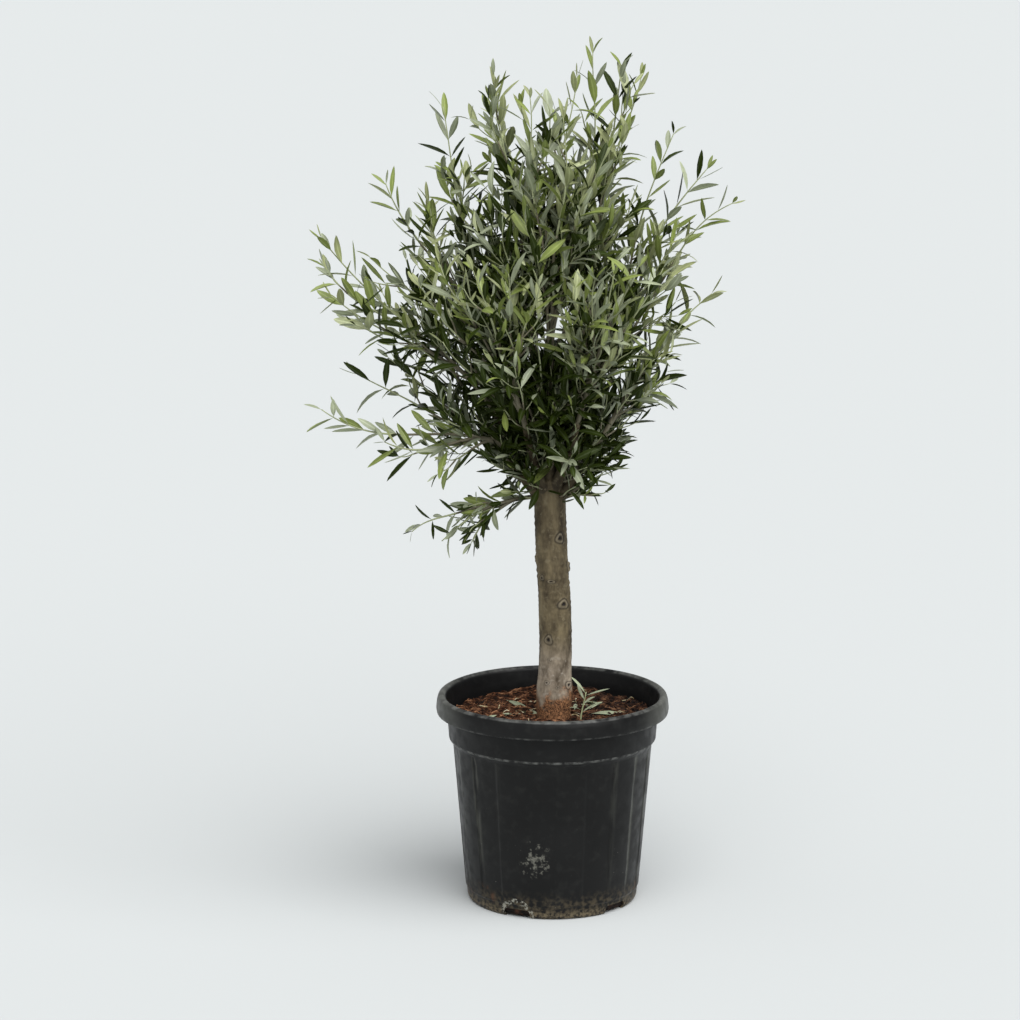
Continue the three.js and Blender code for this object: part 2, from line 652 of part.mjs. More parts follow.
const limbs = stretchesOf(trunkCurve(0), trunkRadius, 16);
const boughCurves = new Map();
let carved = trunkSolid(GAP);
for (const bough of BOUGHS) {
  const curve = boughCurve(bough);
  const radiusAt = (along) => THREE.MathUtils.lerp(bough.girth, BOUGH_TIP_RADIUS, along ** BOUGH_TAPER);
  const solid = mainBody(limbSolid(curve, radiusAt, LIMB_SIDES, LIMB_STEPS).subtract(carved));
  model.add(meshOf(bough.name, solid, BARK, 0.85));
  carved = carved.add(limbSolid(curve, (along) => radiusAt(along) + GAP, LIMB_SIDES, LIMB_STEPS));
  limbs.push(...stretchesOf(curve, radiusAt, 10));
  boughCurves.set(bough.name, curve);
}

const leadersByMass = new Map();
const spaces = new Map();
for (const mass of MASSES) {
  const bough = boughCurves.get(mass.on);
  const direction = bough ? bough.getTangentAt(1) : polar(...mass.first).lerp(polar(...mass.last), 0.5);
  const root = bough ? bough.getPointAt(1).addScaledVector(direction, GAP) : trunkPointAt(mass.on);
  if (!bough) direction.sub(root).normalize().addScaledVector(UP, 0.35).normalize();
  const leaders = leadersOf(mass, root, direction);
  leadersByMass.set(mass, leaders);
  spaces.set(mass.name, leaders.flatMap((curve) => stretchesOf(curve, () => 0, 10)));
}

for (const mass of MASSES) {
  const grown = growMass(mass, leadersByMass.get(mass), spaces, limbs);
  const solid = mainBody(boughCurves.has(mass.on) ? grown : grown.subtract(carved));
  model.add(meshOf(mass.name, solid, LEAF_GREEN, 0.7));
}
model.add(meshOf("foliage_foot_sprout", footSprout(), LEAF_GREEN, 0.7));

export default model;
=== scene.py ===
"""A young olive grown as a small standard tree, in a black nursery pot.

Metres, +Z up, the front faces -Y. Sizes are in millimetres, which MM turns to metres, and bearings are
in degrees round the trunk, from +X towards +Y.
"""

import bpy
import numpy as np
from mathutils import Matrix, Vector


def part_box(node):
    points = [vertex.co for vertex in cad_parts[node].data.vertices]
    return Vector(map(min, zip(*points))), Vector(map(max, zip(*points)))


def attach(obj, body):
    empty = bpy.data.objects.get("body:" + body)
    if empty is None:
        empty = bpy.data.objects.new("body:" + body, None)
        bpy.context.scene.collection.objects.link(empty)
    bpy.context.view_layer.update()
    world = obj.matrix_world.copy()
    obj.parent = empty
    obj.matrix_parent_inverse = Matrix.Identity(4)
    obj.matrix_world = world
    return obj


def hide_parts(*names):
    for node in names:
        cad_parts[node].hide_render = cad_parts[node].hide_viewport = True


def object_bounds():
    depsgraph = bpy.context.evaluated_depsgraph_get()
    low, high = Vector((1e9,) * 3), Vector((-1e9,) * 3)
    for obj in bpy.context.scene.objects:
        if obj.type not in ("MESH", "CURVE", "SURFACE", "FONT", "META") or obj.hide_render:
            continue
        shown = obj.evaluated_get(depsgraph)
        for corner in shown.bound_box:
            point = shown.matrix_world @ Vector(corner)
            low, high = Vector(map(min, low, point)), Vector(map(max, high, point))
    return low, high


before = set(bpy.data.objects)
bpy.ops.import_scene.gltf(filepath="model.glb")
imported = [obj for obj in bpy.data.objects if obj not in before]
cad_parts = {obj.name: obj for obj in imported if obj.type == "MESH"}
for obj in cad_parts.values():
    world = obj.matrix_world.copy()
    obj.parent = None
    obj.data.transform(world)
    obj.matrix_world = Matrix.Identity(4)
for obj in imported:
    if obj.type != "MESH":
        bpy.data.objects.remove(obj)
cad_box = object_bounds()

MM = 0.001
scene = bpy.context.scene
scene.view_settings.view_transform = "Standard"

# The camera
# A long lens about six metres away, a little higher than the tree and looking down by 12 degrees, so
# that the rim shows as a flat ellipse and the far side of the mix is seen over the near lip.
CAMERA_PLACE = (-0.073, -5.893, 1.907)
CAMERA_TILT = 78.248
LENS = 125
SENSOR = 36
camera_data = bpy.data.cameras.new("camera")
camera_data.lens = LENS
camera_data.sensor_width = SENSOR
camera = bpy.data.objects.new("camera", camera_data)
camera.location = CAMERA_PLACE
camera.rotation_euler = (np.radians(CAMERA_TILT), 0, 0)
scene.collection.objects.link(camera)
scene.camera = camera

# The pot
# A thin-walled nursery container of black polypropylene, injection moulded in one piece: a floor, a
# stepped foot with drain notches, a body of ten shallow flutes, a smooth collar and a rolled lip.
pot_low, pot_high = np.array(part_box("pot")) / MM
POT_HEIGHT = pot_high[2]
LIP_RADIUS = (pot_high[0] - pot_low[0]) / 2
LIP_DROP = 33
COLLAR_TOP_RADIUS = 181.2
COLLAR_FOOT_RADIUS = 178
COLLAR_FOOT_HEIGHT = 284
COLLAR_SLOPE = 8
BODY_TOP_RADIUS = 171.2
BODY_FOOT_RADIUS = 150
BODY_FOOT_HEIGHT = 24
FOOT_RADIUS = 143
FOOT_ROUND = 5
FOOT_STEP = 3
WALL = 3
FLOOR = 4
FLUTES = 10
FLUTE_DEPTH = 1.5
FLUTE_TURN = 2
FLUTE_EDGE = 0.05
FLUTE_END = 7
POT_COLUMNS = 600
BODY_ROWS = 14
CORNER_ROUND = 2.4
CREASE = 38
NOTCHES = 5
NOTCH_WIDTH = 48
NOTCH_HEIGHT = 15
NOTCH_REACH = 13
NOTCH_ROUND = 8.25
FIRST_NOTCH_BEARING = 245
UP = np.array([0, 0, 1.0])


def round_axis(angle, reach, height):
    """Points at angles round the axis, at a reach from it and a height."""
    return np.stack(np.broadcast_arrays(reach * np.cos(angle), reach * np.sin(angle), height), -1)


def rounded(profile, size, steps=5):
    """A profile with its corners rounded: each corner becomes a short parabola, which starts and ends
    `size` from it along its two sides, or 0.45 of the shorter side where that is less."""
    corner = profile[1:-1]
    back, on = profile[:-2] - corner, profile[2:] - corner
    back_length = np.linalg.norm(back, axis=1, keepdims=True)
    on_length = np.linalg.norm(on, axis=1, keepdims=True)
    reach = np.minimum(size, 0.45 * np.minimum(back_length, on_length))
    start, end = corner + back / back_length * reach, corner + on / on_length * reach
    t = np.linspace(0, 1, steps)[:, None]
    arcs = (1 - t) ** 2 * start[:, None] + 2 * t * (1 - t) * corner[:, None] + t**2 * end[:, None]
    return np.vstack([profile[:1], arcs.reshape(-1, profile.shape[1]), profile[-1:]])


def new_lofts(name, starts, rings, ends, kinds=None, crease=None):
    """A smooth-shaded object of closed lofts in millimetres: quads join neighbouring rings, and fans close
    the ends. Rings run counter-clockwise seen from the end, so the faces point outwards. `kinds` holds the
    number of each face's material, and edges sharper than `crease` degrees stay sharp."""
    pieces, count, around, _ = rings.shape
    points = np.concatenate([starts[:, None], rings.reshape(pieces, -1, 3), ends[:, None]], axis=1)
    here = 1 + np.arange(around)
    there = np.roll(here, -1)
    step = around * np.arange(count - 1)[:, None]
    quads = np.stack([step + here, step + there, step + around + there, step + around + here], -1)
    last = around * (count - 1)
    start_fan = np.stack([0 * here, there, here], -1)
    end_fan = np.stack([last + here, last + there, 0 * here + last + around + 1], -1)
    offset = points.shape[1] * np.arange(pieces)[:, None, None]
    quads = (quads.reshape(-1, 4) + offset).reshape(-1, 4)
    fans = (np.concatenate([start_fan, end_fan]) + offset).reshape(-1, 3)
    mesh = bpy.data.meshes.new(name)
    mesh.from_pydata((points.reshape(-1, 3) * MM).tolist(), [], quads.tolist() + fans.tolist())
    if kinds is not None:
        mesh.polygons.foreach_set("material_index", kinds.astype(np.int32))
    mesh.shade_smooth()
    if crease:
        mesh.set_sharp_from_angle(angle=np.radians(crease))
    made = bpy.data.objects.new(name, mesh)
    scene.collection.objects.link(made)
    return made


def finish_piece(piece, slot, materials, replaced=()):
    """Gives a piece its materials, sets it on the one body and hides the parts that it replaces; its slot is
    not used.
    """
    piece.data.materials.clear()
    for material in materials:
        piece.data.materials.append(material)
    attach(piece, "root")
    if replaced:
        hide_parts(*replaced)


def linear(code):
    """A linear colour with alpha from an sRGB hex value."""
    channel = np.array([int(code[i:i + 2], 16) for i in (1, 3, 5)]) / 255
    light = np.where(channel <= 0.04045, channel / 12.92, ((channel + 0.055) / 1.055) ** 2.4)
    return (*light.tolist(), 1.0)


def feed(tree, node, inputs):
    """Sets a node's inputs, or links those whose value is another node's output."""
    for key, value in inputs.items():
        if isinstance(value, bpy.types.NodeSocket):
            tree.links.new(value, node.inputs[key])
        else:
            node.inputs[key].default_value = value


def put(tree, kind, inputs=None, output=None, **settings):
    """Adds a node to a tree with its settings and inputs. Returns the output that is named, or the first
    one that the settings leave in use."""
    node = tree.nodes.new("ShaderNode" + kind)
    for key, value in settings.items():
        setattr(node, key, value)
    feed(tree, node, inputs or {})
    return node.outputs[output] if output else next(socket for socket in node.outputs if socket.enabled)


def new_material(name):
    """A new material with its tree, its shader, and the place on the object that its patterns read."""
    material = bpy.data.materials.new(name)
    material.use_nodes = True
    tree = material.node_tree
    return material, tree, tree.nodes["Principled BSDF"], put(tree, "TexCoord", output="Object")


def masked(tree, strength, masks, curve="SMOOTHSTEP"):
    """A strength times its masks. Each mask is a value and the two ends of its rise from 0 to 1, and
    where the value is a number, it is the size in millimetres of the patches of a noise."""
    for value, low, high in masks:
        if not isinstance(value, bpy.types.NodeSocket):
            place = tree.nodes["Texture Coordinate"].outputs["Object"]
            value = put(tree, "TexNoise", {"Vector": place, "Scale": 1000 / value, "Detail": 5.0})
        ends = {"Value": value, "From Min": low, "From Max": high}
        rise = put(tree, "MapRange", ends, interpolation_type=curve)
        strength = put(tree, "Math", {0: strength, 1: rise}, operation="MULTIPLY")
    return strength


def cover(tree, under, colour, strength, *masks, curve="SMOOTHSTEP"):
    """A colour laid over another where its masks let it show."""
    share = masked(tree, strength, masks, curve)
    return put(tree, "Mix", {"Factor": share, "A": under, "B": linear(colour)}, data_type="RGBA")


# How far each point of the lip's section lies inside its radius, and below the top of the pot
LIP_SECTION = np.array([
    [14.5, 9.5], [4.5, LIP_DROP - 1], [1.5, LIP_DROP], [0, 25], [1.5, 11], [4, 3], [10, 0], [16.5, 5.5],
])
INNER_WALL = np.array([
    [COLLAR_TOP_RADIUS - WALL, POT_HEIGHT - LIP_DROP],
    [COLLAR_FOOT_RADIUS - WALL, COLLAR_FOOT_HEIGHT + 2],
    [BODY_TOP_RADIUS - WALL, COLLAR_FOOT_HEIGHT - 5],
    [BODY_FOOT_RADIUS - WALL, BODY_FOOT_HEIGHT],
    [FOOT_RADIUS - 1, FLOOR],
])


def pot_profile():
    """The pot's outline as radius and height: out along the underside, up the outside, over the lip,
    down the inside and back along the floor."""
    body_foot = [BODY_FOOT_RADIUS, BODY_FOOT_HEIGHT]
    body_top = [BODY_TOP_RADIUS, COLLAR_FOOT_HEIGHT - COLLAR_SLOPE]
    outside = [
        [4, 0],
        [FOOT_RADIUS, 0],
        [FOOT_RADIUS + 0.7 * FOOT_ROUND, FOOT_ROUND],
        [FOOT_RADIUS + FOOT_ROUND, BODY_FOOT_HEIGHT - FOOT_STEP],
        *np.linspace(body_foot, body_top, BODY_ROWS),
        [COLLAR_FOOT_RADIUS, COLLAR_FOOT_HEIGHT],
        [COLLAR_TOP_RADIUS, POT_HEIGHT - LIP_DROP + 2],
    ]
    lip = np.array([LIP_RADIUS, POT_HEIGHT]) - LIP_SECTION
    return rounded(np.vstack([outside, lip, INNER_WALL, [[4, FLOOR]]]), CORNER_ROUND)


def smooth_step(low, high, value):
    """0 below `low`, 1 above `high`, and a smooth rise between them."""
    share = np.clip((value - low) / (high - low), 0, 1)
    return share * share * (3 - 2 * share)


def flute_sink(radius, height, bearing):
    """How far the outside sinks at the flutes, each half of a panel wide, fading out at both ends."""
    share = np.mod((bearing + 90 - FLUTE_TURN) * FLUTES / 360, 1)
    band = smooth_step(0.5 - FLUTE_EDGE, 0.5, share) * (1 - smooth_step(1 - FLUTE_EDGE, 1, share))
    top = COLLAR_FOOT_HEIGHT - COLLAR_SLOPE
    along = smooth_step(BODY_FOOT_HEIGHT, BODY_FOOT_HEIGHT + FLUTE_END, height)
    along *= 1 - smooth_step(top - FLUTE_END, top, height)
    outside = np.interp(height, (BODY_FOOT_HEIGHT, top), (BODY_FOOT_RADIUS, BODY_TOP_RADIUS))
    return FLUTE_DEPTH * band * along * (radius > outside - WALL / 2)


def pot_shell():
    """The profile carried round the axis, with the flutes sunk in it."""
    radius, height = pot_profile().T
    bearing = np.arange(POT_COLUMNS) * 360 / POT_COLUMNS
    sunk = radius[:, None] - flute_sink(radius[:, None], height[:, None], bearing)
    rings = round_axis(np.radians(bearing), sunk, height[:, None])
    return new_lofts("pot_shell", np.array([[0, 0, 0.0]]), rings[None], np.array([[0, 0, FLOOR]]))


def notch_cutters():
    """Round-topped arches, each carried through the foot's corner towards the axis."""
    half, low = NOTCH_WIDTH / 2, -2
    arch = [[0, low], [half, low], [half, NOTCH_HEIGHT], [-half, NOTCH_HEIGHT], [-half, low], [0, low]]
    outline = rounded(np.array(arch, float), NOTCH_ROUND, 7)[1:]
    bearing = np.radians(FIRST_NOTCH_BEARING + np.arange(NOTCHES) * 360 / NOTCHES)
    out = round_axis(bearing, 1, 0)
    reach = FOOT_RADIUS + NOTCH_REACH * np.array([-1, 1])
    across = np.cross(UP, out)[:, None, None] * outline[:, 0, None]
    rings = out[:, None, None] * reach[:, None, None] + across + UP * outline[:, 1, None]
    return new_lofts("notch_cutters", rings[:, 0].mean(axis=1), rings, rings[:, 1].mean(axis=1))


pot = pot_shell()
cutters = notch_cutters()
cut = pot.modifiers.new("notches", "BOOLEAN")
cut.operation = "DIFFERENCE"
cut.solver = "EXACT"
cut.object = cutters
pot.data = bpy.data.meshes.new_from_object(pot.evaluated_get(bpy.context.evaluated_depsgraph_get()))
pot.modifiers.clear()
pot.data.shade_smooth()
pot.data.set_sharp_from_angle(angle=np.radians(CREASE))
bpy.data.objects.remove(cutters)


def polypropylene():
    """Black injection-moulded polypropylene: a dull, slightly waxy skin, greyed by dust and handling,
    worn paler along its edges, a dried splash of lime water, and soil washed over the foot. Painted
    shade darkens the inner wall above the mix, a painted reflection lightens the lip's two ends, and
    painted highlights run down the flute edges at the left and right sides. Its scuffs are 5 to 30 mm,
    and its levels are in metres."""
    material, tree, shader, place = new_material("black_polypropylene")
    x, y, z = put(tree, "SeparateXYZ", {"Vector": place}).node.outputs
    skin = cover(tree, linear("#0a0a0a"), "#111111", 1.0, (90, 0.35, 0.7))
    skin = cover(tree, skin, "#3a3b38", 0.13, (16, 0.5, 0.75))

    # Wear on the lip, the ribs and the foot: its colour and strength, the size and the rise of its
    # patches, and its lowest and highest level and its fade in millimetres
    wear = [
        ("#80817d", 0.42, 16, 0.3, 0.7, 358.5, 365, 2.5),
        ("#8a8b87", 0.42, 11, 0.36, 0.7, 282, 285.5, 1.2),
        ("#6d6e6b", 0.36, 14, 0.4, 0.7, 327, 331, 1.5),
        ("#514838", 0.8, 8, 0.38, 0.66, -5, 12, 42),
        ("#7d7058", 0.6, 5, 0.42, 0.64, -5, 6, 14),
        ("#6a4a33", 0.5, 30, 0.6, 0.72, 14, 40, 12),
    ]
    for colour, strength, size, low, high, bottom, top, fade in wear:
        rise = (z, (bottom - fade) * MM, bottom * MM)
        fall = (z, (top + fade) * MM, top * MM)
        skin = cover(tree, skin, colour, strength, (size, low, high), rise, fall)

    # How far each point is from a flute's edge and to the side, its radius, and upright streaks
    turn = put(tree, "Math", {0: y, 1: x}, operation="ARCTAN2")
    first_panel = (90 - FLUTE_TURN) * FLUTES / 180
    panels = put(tree, "Math", {0: turn, 1: FLUTES / np.pi, 2: first_panel}, operation="MULTIPLY_ADD")
    edge = put(tree, "Math", {0: panels, 1: 0.5}, operation="PINGPONG")
    aside = put(tree, "Math", {0: x}, operation="ABSOLUTE")
    flat = put(tree, "VectorMath", {0: place, 1: (1, 1, 0)}, operation="MULTIPLY")
    across = put(tree, "VectorMath", {0: flat}, operation="LENGTH")
    tall = put(tree, "Mapping", {"Vector": place, "Scale": (1, 1, 0.06)})
    streak = put(tree, "TexNoise", {"Vector": tall, "Scale": 1000 / 7, "Detail": 5.0})

    # The ragged splash of lime water, the ring of a dried drop at a notch, and groups of specks
    splash = put(tree, "VectorMath", {0: place, 1: (-0.029, -0.158, 0.106)}, operation="DISTANCE")
    near = masked(tree, 0.34, [(splash, 0.07, 0.0)])
    drops = put(tree, "TexNoise", {"Vector": place, "Scale": 1000 / 9, "Detail": 9.0, "Roughness": 0.68})
    spread = put(tree, "Math", {0: near, 1: drops}, operation="ADD")
    notch = put(tree, "VectorMath", {0: place, 1: (-0.062, -0.133, 0.004)}, operation="DISTANCE")
    ring = put(tree, "Math", {0: notch, 1: 0.026, 2: 0.005}, operation="COMPARE")
    specks = put(tree, "TexVoronoi", {"Vector": place, "Scale": 1000 / 14})
    groups = put(tree, "TexNoise", {"Vector": place, "Scale": 1000 / 60, "Detail": 3.0})

    # Painted shade on the inner wall, a painted reflection on the lip's ends, painted highlights down
    # the flute edges at the sides, the splash, the ring and the specks
    # Painted shade: near black on the inner wall above the mix, which is also made rougher there
    shaded_inner_wall = [(across, 0.1808, 0.1785), (z, 0.316, 0.322)]
    layers = [
        ("#040404", 1.0, *shaded_inner_wall),
        # Painted reflection: pale grey on the lip's left and right ends, where the bright room would mirror
        ("#6a6b64", 0.42, (aside, 0.14, 0.2), (z, 0.326, 0.332), (across, 0.183, 0.186)),
        # Painted highlights: grey streaks down the flute edges on the left and right sides
        ("#5a5b53", 0.45, (edge, 0.2, 0.02), (aside, 0.08, 0.14), (streak, 0.4, 0.62), (z, 0.03, 0.06),
         (z, 0.28, 0.27)),
        ("#85847a", 0.55, (spread, 0.78, 0.92)),
        ("#a8a79b", 0.6, (ring, 0, 1), (5, 0.46, 0.58)),
        ("#7d7d77", 0.9, (specks, 0.07, 0.03), (groups, 0.5, 0.62), (z, 0.24, 0.02)),
    ]
    for colour, strength, *masks in layers:
        skin = cover(tree, skin, colour, strength, *masks)
    dusty = masked(tree, 0.16, [(masked(tree, 1.0, [(22, 0.3, 0.7)]), 0.0, 1.0)])
    rough = put(tree, "Math", {0: dusty, 1: 0.36}, operation="ADD")
    rough = put(tree, "Math", {0: masked(tree, 0.3, shaded_inner_wall), 1: rough}, operation="ADD")
    grain = put(tree, "TexNoise", {"Vector": place, "Scale": 1000 / 1.6, "Detail": 2.0})
    bump = put(tree, "Bump", {"Height": grain, "Strength": 0.35, "Distance": 0.15 * MM})
    feed(tree, shader, {"Base Color": skin, "Roughness": rough, "Normal": bump, "IOR": 1.49,
                        "Specular IOR Level": 0.22})
    return material


finish_piece(pot, "pot_plastic", [polypropylene()], ["pot"])

# The potting mix
# Coarse coir and composted bark that fills the pot to 50 mm below the rim. The body is one closed lump
# to the floor, with clods on top, and loose fibres, chips and straws lie on it.
SOIL_HEIGHT = 316
SOIL_FLAT_RADIUS = 66
SOIL_SWELL = 5
SOIL_EDGE_GAP = 1.6
SOIL_CLEARANCE = 0.4
SOIL_RINGS = 110
SOIL_COLUMNS = 360
CLOD_HEIGHT = 3.4
CRUMB_HEIGHT = 1.3


def unit(vectors):
    """Vectors scaled to length 1."""
    return vectors / np.linalg.norm(vectors, axis=-1, keepdims=True)


def ripple(points, seed, longest, shortest, waves=28):
    """A seeded relief of about -1 to 1 at each point in millimetres: a sum of plane waves in random
    directions, with lengths from the longest to the shortest, the short ones lower."""
    chance = np.random.default_rng(seed)
    heading = unit(chance.normal(size=(waves, 3)))
    length = longest * (shortest / longest) ** chance.random(waves)
    phase = 2 * np.pi * chance.random(waves)
    weight = np.sqrt(length / longest)
    swell = np.sin(points @ (heading * (2 * np.pi / length)[:, None]).T + phase)
    return swell @ weight / np.sqrt(weight @ weight)


def mix_top(x, y):
    """The height of the mix: level round the trunk and in low mounds towards the wall, with clods of
    20 to 45 mm and crumbs of 6 to 14 mm on it."""
    radius, bearing = np.hypot(x, y), np.arctan2(y, x)
    rise = smooth_step(SOIL_FLAT_RADIUS, COLLAR_FOOT_RADIUS, radius)
    mounds = 0.5 + 0.3 * np.sin(bearing) - 0.45 * np.cos(2 * bearing) + 0.25 * np.sin(5 * bearing)
    ground = np.stack([x, y, 0 * x], -1)
    clods = CLOD_HEIGHT * np.abs(ripple(ground, 21, 90, 40))
    crumbs = CRUMB_HEIGHT * ripple(ground, 22, 28, 9)
    return SOIL_HEIGHT - 1 + SOIL_SWELL * rise * mounds + clods + crumbs


def mix_body():
    """A closed lump: its underside and side follow the inside of the pot, and its top is a grid of
    rings round the axis, lifted to the height of the mix."""
    wall = INNER_WALL[::-1] + [-SOIL_CLEARANCE, 0]
    side = np.vstack([[4, FLOOR + SOIL_CLEARANCE], wall[0] + [0, SOIL_CLEARANCE], wall[1:-1]])
    edge = COLLAR_TOP_RADIUS - WALL - SOIL_EDGE_GAP
    top = np.linspace(edge, 3, SOIL_RINGS)
    radius = np.concatenate([side[:, 0], top])[:, None]
    angle = np.arange(SOIL_COLUMNS) * 2 * np.pi / SOIL_COLUMNS
    x, y = radius * np.cos(angle), radius * np.sin(angle)
    z = np.repeat(np.concatenate([side[:, 1], top])[:, None], SOIL_COLUMNS, axis=1)
    z[len(side):] = mix_top(x[len(side):], y[len(side):])
    rings = np.stack([x, y, z], -1)
    crown = np.array([[0, 0, z[-1].mean()]])
    return new_lofts("potting_mix", np.array([[0, 0, FLOOR + SOIL_CLEARANCE]]), rings[None], crown)


def square_part(vectors, line):
    """The part of vectors that is square to their lines, scaled to length 1."""
    return unit(vectors - (vectors * line).sum(-1, keepdims=True) * line)


def level_side(lines):
    """A direction square to each line: a level one, or for a steep line one square to the x axis."""
    return np.cross(lines, np.where(np.abs(lines[:, 2:]) < 0.9, [[0, 0, 1.0]], [[1.0, 0, 0]]))


def tube_rings(paths, radii, sides):
    """Rings of points round paths: each ring is a circle square to the path, whose sides start from a
    direction that is fixed for the path and square to its chord, so that the tube doesn't twist."""
    line = unit(np.gradient(paths, axis=1))
    chord = unit(paths[:, -1] - paths[:, 0])
    across = square_part(level_side(chord)[:, None], line)
    up = np.cross(line, across)
    angle = 2 * np.pi * np.arange(sides) / sides
    round_it = across[:, :, None] * np.cos(angle)[:, None] + up[:, :, None] * np.sin(angle)[:, None]
    return paths[:, :, None] + round_it * radii[:, :, None, None]


def new_tubes(name, paths, radii, sides, ends=0.6):
    """An object of closed tubes along paths, each end drawn out by a share of its radius."""
    rings = tube_rings(paths, radii, sides)
    first, last = unit(paths[:, 1] - paths[:, 0]), unit(paths[:, -1] - paths[:, -2])
    starts = paths[:, 0] - first * radii[:, :1] * ends
    finishes = paths[:, -1] + last * radii[:, -1:] * ends
    return new_lofts(name, starts, rings, finishes)


def scattered(count, chance, inner=34, outer=174):
    """Places spread evenly over the ring between the trunk and the pot's wall."""
    reach = np.sqrt(chance.uniform(inner**2, outer**2, count))
    bearing = chance.uniform(0, 2 * np.pi, count)
    return round_axis(bearing, reach, 0)[:, :2]


def lying_tubes(name, count, chance, lengths, bend, lift, girths, sides, steps=7):
    """Tubes that lie on the mix: each starts at a random place and heads a random way, turns steadily by
    a random angle, and rises a little in its middle."""
    start = scattered(count, chance)
    heading = chance.uniform(0, 2 * np.pi, count)[:, None]
    turn = chance.normal(0, bend, count)[:, None]
    length = chance.uniform(*lengths, count)[:, None]
    share = np.linspace(0, 1, steps)[None]
    angle = heading + turn * share
    walk = np.stack([np.cos(angle), np.sin(angle)], -1) * (length / (steps - 1))[..., None]
    flat = start[:, None] + np.cumsum(walk, axis=1) - walk
    reach = np.linalg.norm(flat, axis=-1, keepdims=True)
    flat = flat * np.clip(reach, 31, 175) / reach
    rise = lift + chance.uniform(0, 3.5, count)[:, None] * np.sin(np.pi * share)
    height = mix_top(flat[..., 0], flat[..., 1]) + rise
    girth = chance.uniform(*girths, count)[:, None] + 0 * share
    return new_tubes(name, np.concatenate([flat, height[..., None]], -1), girth, sides)


def coir(name, dark, mid, pale, size_mm):
    """Coir and composted bark: dull reddish-brown fibre with near-black gaps and a few paler fibres,
    darkened towards the right by painted shade. The colour turns over about the width of a fibre bundle."""
    material, tree, shader, place = new_material(name)
    clump = put(tree, "TexNoise", {"Vector": place, "Scale": 1000 / size_mm, "Detail": 6.0})
    fibre = put(tree, "ValToRGB", {"Fac": clump})
    stops = fibre.node.color_ramp.elements
    stops[0].position, stops[0].color = 0.38, linear(dark)
    stops[1].position, stops[1].color = 0.68, linear(pale)
    stops.new(0.5).color = linear(mid)
    side = put(tree, "SeparateXYZ", {"Vector": place}, "X")
    # Painted shade: the colour falls to half towards the right of the pot
    right_shade = put(tree, "MapRange", {"Value": side, "From Max": 0.07, "To Min": 1.0, "To Max": 0.5})
    skin = put(tree, "VectorMath", {0: fibre, "Scale": right_shade}, operation="SCALE")
    fine = put(tree, "TexNoise", {"Vector": place, "Scale": 1000 / 2.5, "Detail": 4.0})
    bump = put(tree, "Bump", {"Height": fine, "Strength": 0.8, "Distance": 1.2 * MM})
    feed(tree, shader, {"Base Color": skin, "Normal": bump, "Roughness": 0.9, "Specular IOR Level": 0.25})
    return material


def bark_chips(count, chance):
    """Small rough chips: five-sided rings on a short axis, each corner moved at random, flattened and
    laid at a slant in the mix."""
    length = chance.uniform(5, 17, count)
    width = length * chance.uniform(0.3, 0.6, count)
    thick = chance.uniform(1.2, 3.2, count)
    angle = 2 * np.pi * np.arange(5) / 5
    along = np.array([-0.36, 0.04, 0.4])[:, None, None] * length[:, None, None, None]
    swell = np.array([0.75, 1, 0.7])[:, None]
    jitter = chance.uniform(0.7, 1.25, (count, 3, 5))
    across = (0.5 * width[:, None, None] * swell * jitter * np.cos(angle))[..., None]
    up = (0.5 * thick[:, None, None] * swell * jitter * np.sin(angle))[..., None]
    heading = chance.uniform(0, 2 * np.pi, count)
    slant = chance.normal(0, 0.3, count)
    line = round_axis(heading, np.cos(slant), np.sin(slant))
    side = unit(np.cross(line, UP))
    over = np.cross(line, side)
    flat = scattered(count, chance, 32, 172)
    centre = np.concatenate([flat, (mix_top(*flat.T) + 0.25 * thick)[:, None]], -1)
    rings = centre[:, None, None] + along * line[:, None, None] + across * side[:, None, None]
    rings = rings + up * over[:, None, None]
    starts = centre - line * (0.5 * length)[:, None]
    ends = centre + line * (0.52 * length)[:, None]
    return new_lofts("bark_chips", starts, rings, ends, crease=35)


mix_chance = np.random.default_rng(7)
finish_piece(mix_body(), "potting_mix", [coir("coir_mix", "#080503", "#20120b", "#4a2e1f", 11)], ["soil"])
strands = lying_tubes("coir_strands", 1900, mix_chance, (12, 50), 0.9, 1.2, (0.35, 0.8), 3)
finish_piece(strands, "potting_mix", [coir("coir_fibre", "#21120a", "#5d3823", "#c08d68", 14)])
chips = bark_chips(900, mix_chance)
finish_piece(chips, "potting_mix", [coir("bark_chip", "#140c08", "#3d2416", "#7a5238", 13)])
straws = lying_tubes("dry_straws", 42, mix_chance, (5, 20), 0.15, 2.2, (0.5, 1.1), 5)
finish_piece(straws, "potting_mix", [coir("dry_straw", "#8f7b58", "#cbbb93", "#e6ddc2", 10)])

# The trunk
# One stem of young olive wood with smooth grey bark, pruned clean to its fork: it has a slight bow,
# a swelling above the mix, the healed eyes of cut shoots and fine rings of old leaf scars.
TRUNK_TOP = 732
TRUNK_FOOT_RADIUS = 27.8
TRUNK_TOP_RADIUS = 26.6
FLARE = 3.8
FLARE_HEIGHT = 42
FLARE_SPREAD = 30
TRUNK_BOW = 5
TRUNK_LEAN = -7
TRUNK_SINK = 6
TRUNK_ROWS = 420
TRUNK_COLUMNS = 200
HEAD_HEIGHT = 17
RINGS_RISE = (500, 540)
RINGS_FALL = (655, 690)
RING_STEP = 11.5
STAIN_FADE = (346, 372)
KNOT_SHARE = 0.72

